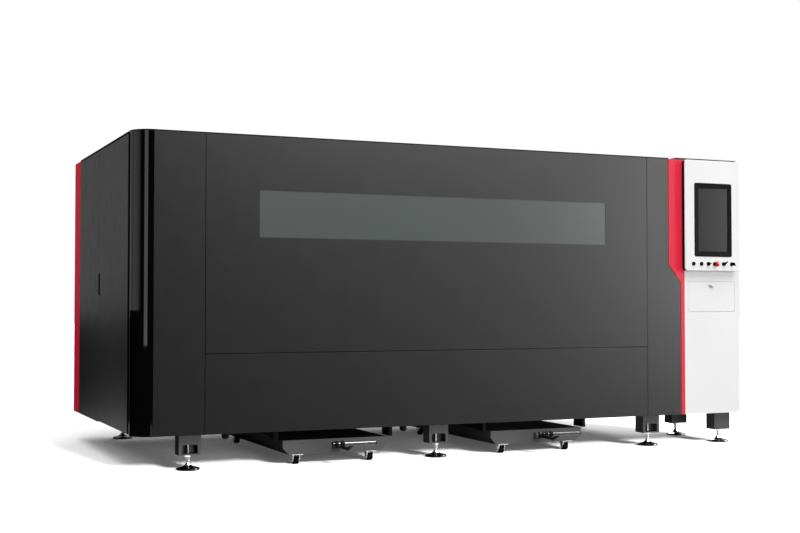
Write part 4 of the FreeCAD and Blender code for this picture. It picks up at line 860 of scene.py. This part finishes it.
@dataclass(frozen=True)
class SheetScrews:
    """Rows of round-headed hexagon socket screws that hold the hidden side's sheets."""

    head: float = 0.0075
    rise: float = 0.004
    socket: float = 0.0036
    margin: float = 0.022
    spacing: float = 0.36
    flange_inset: float = 0.016
    flange_thickness: float = 0.006
    washer: float = 0.0105
    washer_rise: float = 0.0016
    bolt_head: float = 0.0075
    bolt_edge: float = 0.006
    bolt_crown: float = 0.0066
    bolt_rise: float = 0.0072

    def build(self, dresser: Dresser) -> None:
        """Screw the rear panels, the roof panels and the dust port's flange."""
        port = node_box("dust_port")
        screws = Piece("rear_panel_screws")
        for box in solids_of("rear_panels"):
            rows = self.along(box.low.z + self.margin * 2, box.high.z - self.margin * 2)
            for x in (box.low.x + self.margin, box.high.x - self.margin):
                for z in rows:
                    self.screw(screws, Vector((x, port.low.y, z)), BACKWARD)
        screws.fit(dresser, "bare_steel")
        roof = Piece("roof_screws")
        for box in solids_of("roof_panels"):
            for x in (box.low.x + self.margin, box.high.x - self.margin):
                for y in self.along(box.low.y + self.margin * 2, box.high.y - self.margin * 2):
                    self.screw(roof, Vector((x, y, box.high.z)), UP)
        roof.fit(dresser, "bare_steel")
        flange = Piece("dust_port_bolts")
        inset = self.flange_inset
        face = port.low.y + self.flange_thickness
        for x in (port.low.x + inset, port.high.x - inset):
            for z in (port.low.z + inset, port.middle.z, port.high.z - inset):
                self.bolt(flange, Vector((x, face, z)))
        for z in (port.low.z + inset, port.high.z - inset):
            self.bolt(flange, Vector((port.middle.x, face, z)))
        flange.fit(dresser, "ground_steel")

    def along(self, low: float, high: float) -> list[float]:
        """Even places between two ends, about a spacing apart."""
        count = max(2, round((high - low) / self.spacing) + 1)
        return [low + (high - low) * index / (count - 1) for index in range(count)]

    def screw(self, piece: Piece, place: Vector, way: Vector) -> None:
        """One low round head with its hexagon socket."""
        r, h, s = self.head, self.rise, self.socket
        shape = [(0.0, 0.0), (r, 0.0), (r, h * 0.25), (r * 0.9, h * 0.62), (r * 0.7, h * 0.9),
                 (s * 1.2, h), (s, h * 0.95), (s, h * 0.3), (0.0, h * 0.3)]
        piece.turned(shape, place, way, 24)

    def bolt(self, piece: Piece, place: Vector) -> None:
        """One hexagon bolt on a washer."""
        low = self.washer_rise
        washer = [(0.0, 0.0), (self.washer, 0.0), (self.washer, low), (0.0, low)]
        piece.turned(washer, place, BACKWARD, 28)
        head = [(0.0, low), (self.bolt_head, low), (self.bolt_head, self.bolt_edge),
                (self.bolt_crown, self.bolt_rise), (0.0, self.bolt_rise)]
        piece.turned(head, place, BACKWARD, HEXAGON)


@dataclass(frozen=True)
class PhotoCamera:
    """The camera, at the photograph's view."""

    place: tuple[float, float, float] = (-3.92395, -8.7382, 1.0444)
    tilt: float = 91.712
    turn: float = -23.738
    lens: float = 56.67
    sensor: float = 36.0
    far: float = 200.0

    def build(self) -> None:
        """Create the camera and make it the scene's own."""
        data = bpy.data.cameras.new("photo_camera")
        data.lens = self.lens
        data.sensor_width = self.sensor
        data.clip_end = self.far
        camera = bpy.data.objects.new("photo_camera", data)
        camera.location = self.place
        camera.rotation_euler = (math.radians(self.tilt), 0.0, math.radians(self.turn))
        bpy.context.scene.collection.objects.link(camera)
        bpy.context.scene.camera = camera
        log.info("camera at %s", self.place)


class Reach(Enum):
    """What a softbox shows in."""

    ALL = "all surfaces"
    GLOSS = "reflections alone"
    MATT = "no reflections"


@dataclass(frozen=True)
class Softbox:
    """A large soft lamp that points at a spot on the machine."""

    name: str
    place: tuple[float, float, float]
    target: tuple[float, float, float]
    width: float
    height: float
    power: float
    reach: Reach = Reach.ALL

    def build(self) -> None:
        """Create the lamp."""
        data = bpy.data.lights.new(self.name, "AREA")
        data.shape = "RECTANGLE"
        data.size = self.width
        data.size_y = self.height
        data.energy = self.power
        lamp = bpy.data.objects.new(self.name, data)
        lamp.location = self.place
        aim = Vector(self.target) - Vector(self.place)
        lamp.rotation_euler = aim.to_track_quat("-Z", "Y").to_euler()
        lamp.visible_camera = False
        lamp.visible_diffuse = self.reach is not Reach.GLOSS
        lamp.visible_glossy = self.reach is not Reach.MATT
        bpy.context.scene.collection.objects.link(lamp)
        log.info("lamp %s", self.name)


@dataclass(frozen=True)
class Flag:
    """A curved flag round the near corner, seen in reflections alone; a glow makes it a card."""

    name: str
    radius: float
    start: float
    end: float
    height: float
    glow: float = 0.0
    steps: int = 8
    base: float = 0.002

    def build(self) -> None:
        """Create the flag."""
        low, high = [], []
        for step in range(self.steps + 1):
            angle = math.radians(self.start + (self.end - self.start) * step / self.steps)
            x = FLAG_CENTRE[0] + self.radius * math.cos(angle)
            y = FLAG_CENTRE[1] + self.radius * math.sin(angle)
            low.append((x, y, 0.0))
            high.append((x, y, self.height))
        count = self.steps + 1
        mesh = bpy.data.meshes.new(self.name)
        faces = [(i, i + 1, count + i + 1, count + i) for i in range(self.steps)]
        mesh.from_pydata(low + high, [], faces)
        material = bpy.data.materials.new(self.name)
        material.use_nodes = True
        surface = material.node_tree.nodes["Principled BSDF"]
        surface.inputs["Base Color"].default_value = scaled(grey(self.base), 1.0)
        surface.inputs["Specular IOR Level"].default_value = 0.0
        surface.inputs["Emission Color"].default_value = WHITE
        surface.inputs["Emission Strength"].default_value = self.glow
        mesh.materials.append(material)
        flag = bpy.data.objects.new(self.name, mesh)
        flag.visible_camera = False
        flag.visible_diffuse = False
        flag.visible_shadow = False
        flag.visible_transmission = False
        bpy.context.scene.collection.objects.link(flag)
        log.info("flag %s", self.name)


@dataclass(frozen=True)
class BroadSun:
    """A distant lamp of a given width, for the machine and floor or the floor alone."""

    name: str
    source: tuple[float, float, float]
    strength: float
    spread: float
    floor_only: bool = False

    def build(self, floor: bpy.types.Object) -> None:
        """Create the lamp.

        Args:
            floor: the floor, which alone is lit where floor_only is set.
        """
        data = bpy.data.lights.new(self.name, "SUN")
        data.energy = self.strength
        data.angle = math.radians(self.spread)
        lamp = bpy.data.objects.new(self.name, data)
        lamp.rotation_euler = (-Vector(self.source)).to_track_quat("-Z", "Y").to_euler()
        bpy.context.scene.collection.objects.link(lamp)
        if self.floor_only:
            receivers = bpy.data.collections.new(self.name + "_receivers")
            receivers.objects.link(floor)
            lamp.light_linking.receiver_collection = receivers
        log.info("lamp %s", self.name)


@dataclass(frozen=True)
class Studio:
    """A pale floor and sky, suns, softboxes and the flags that shape the reflections."""

    floor_half: float = 60.0
    sky_light: float = 0.06
    floor_white: float = 0.92
    floor_bounce: float = 0.05
    floor_glow: float = 0.07
    floor_gloss: float = 0.9
    suns: tuple[BroadSun, ...] = (
        BroadSun("broad_sun", (0.0, -0.34, 1.0), 3.3, 60.0),
        BroadSun("floor_wash", (0.36, -2.0, 1.0), 7.0, 11.0, floor_only=True),
    )
    softboxes: tuple[Softbox, ...] = (
        Softbox("front_softbox", (0.0, -12.0, 1.8), (1.0, -1.0, 1.2), 5.0, 3.0, 690.0, Reach.MATT),
        Softbox("back_softbox", (5.5, 7.5, 4.5), (0.5, 1.2, 1.0), 4.0, 3.0, 400.0),
        Softbox(
            "front_sheen", (7.4, -3.7, 2.3), (1.0, -1.0, 1.1), 4.0, 3.2, 4000.0, Reach.GLOSS
        ),
        Softbox("top_sheen", (1.7, -5.0, 5.8), (0.2, -1.0, 1.8), 3.8, 2.6, 4500.0, Reach.GLOSS),
        Softbox("side_softbox", (-8.5, 1.0, 6.5), (-2.3, 0.3, 1.2), 3.0, 3.0, 145.0, Reach.MATT),
        Softbox(
            "left_strip", (-8.2, -0.64, 2.0), (-2.2, -0.85, 1.6), 4.4, 3.8, 68.0, Reach.GLOSS
        ),
        Softbox(
            "corner_strip", (-7.155, -9.55, 2.0), (-2.25, -0.95, 1.3), 3.4, 3.4, 163.0, Reach.GLOSS
        ),
    )
    flags: tuple[Flag, ...] = (
        Flag("near_flag", 3.2, 208.0, 230.0, 3.0),
        Flag("front_flag", 3.2, 251.0, 283.0, 3.0),
        Flag("side_flag", 3.4, 84.0, 122.0, 0.92),
        Flag("low_left_flag", 1.5, 124.0, 209.0, 1.0),
        Flag("low_right_flag", 1.5, 208.0, 272.0, 0.74),
        Flag("side_card", 3.6, 80.0, 126.0, 4.5, glow=0.70),
    )

    def build(self) -> None:
        """Create the sky, the floor, the lamps and the flags."""
        bpy.context.scene.view_settings.view_transform = "Standard"
        self.build_sky()
        floor = self.build_floor()
        for sun in self.suns:
            sun.build(floor)
        for item in self.softboxes + self.flags:
            item.build()

    def seen_white(self, tree: bpy.types.NodeTree) -> Socket:
        """A factor that is 1 for what the eye, gloss and glass see directly."""
        path = tree.nodes.new("ShaderNodeLightPath")
        seen = path.outputs["Is Camera Ray"]
        for ray in ("Is Glossy Ray", "Is Transmission Ray"):
            either = tree.nodes.new("ShaderNodeMath")
            either.operation = "MAXIMUM"
            tree.links.new(seen, either.inputs[0])
            tree.links.new(path.outputs[ray], either.inputs[1])
            seen = either.outputs[0]
        return seen

    def build_sky(self) -> None:
        """A plain sky that looks white and lights softly."""
        world = bpy.data.worlds.new("white_sky")
        bpy.context.scene.world = world
        world.use_nodes = True
        tree = world.node_tree
        level = tree.nodes.new("ShaderNodeMapRange")
        level.inputs["To Min"].default_value = self.sky_light
        level.inputs["To Max"].default_value = 1.0
        tree.links.new(self.seen_white(tree), level.inputs["Value"])
        tree.links.new(level.outputs["Result"], tree.nodes["Background"].inputs["Strength"])
        tree.nodes["Background"].inputs["Color"].default_value = WHITE

    def build_floor(self) -> bpy.types.Object:
        """A pale floor that keeps the machine's shadow."""
        half = self.floor_half
        mesh = bpy.data.meshes.new("floor")
        rim = [(-half, -half, 0.0), (half, -half, 0.0), (half, half, 0.0), (-half, half, 0.0)]
        mesh.from_pydata(rim, [], [(0, 1, 2, 3)])
        mesh.materials.append(self.floor_material())
        floor = bpy.data.objects.new("floor", mesh)
        bpy.context.scene.collection.objects.link(floor)
        return floor

    def floor_material(self) -> bpy.types.Material:
        """Pale where it is seen directly, and dark in the light that it bounces."""
        material = bpy.data.materials.new("floor_white")
        material.use_nodes = True
        tree = material.node_tree
        surface = tree.nodes["Principled BSDF"]
        seen = self.seen_white(tree)
        tone = tree.nodes.new("ShaderNodeMix")
        tone.data_type = "RGBA"
        tone.inputs["A"].default_value = scaled(grey(self.floor_bounce), 1.0)
        tone.inputs["B"].default_value = scaled(grey(self.floor_white), 1.0)
        tree.links.new(seen, tone.inputs["Factor"])
        tree.links.new(tone.outputs["Result"], surface.inputs["Base Color"])
        surface.inputs["Roughness"].default_value = self.floor_gloss
        surface.inputs["Specular IOR Level"].default_value = 0.0
        glow = tree.nodes.new("ShaderNodeMath")
        glow.operation = "MULTIPLY"
        glow.inputs[1].default_value = self.floor_glow
        tree.links.new(seen, glow.inputs[0])
        tree.links.new(glow.outputs[0], surface.inputs["Emission Strength"])
        surface.inputs["Emission Color"].default_value = WHITE
        return material


def main() -> None:
    """Build the studio, the finishes and the added pieces in order."""
    logging.basicConfig(level=logging.INFO, format="%(name)s: %(message)s")
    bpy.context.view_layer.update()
    PhotoCamera().build()
    Studio().build()
    dresser = Dresser()
    dresser.dress_nodes()
    added = (LevelFeet(), TrolleyFittings(), GuideInserts(), DrainPlugs(), RoofEdging(),
             DoorGapShadeLip(), SwitchRow(), FlapGapLightSeal(), SheetScrews())
    for fittings in added:
        fittings.build(dresser)


if __name__ == "__main__":
    main()
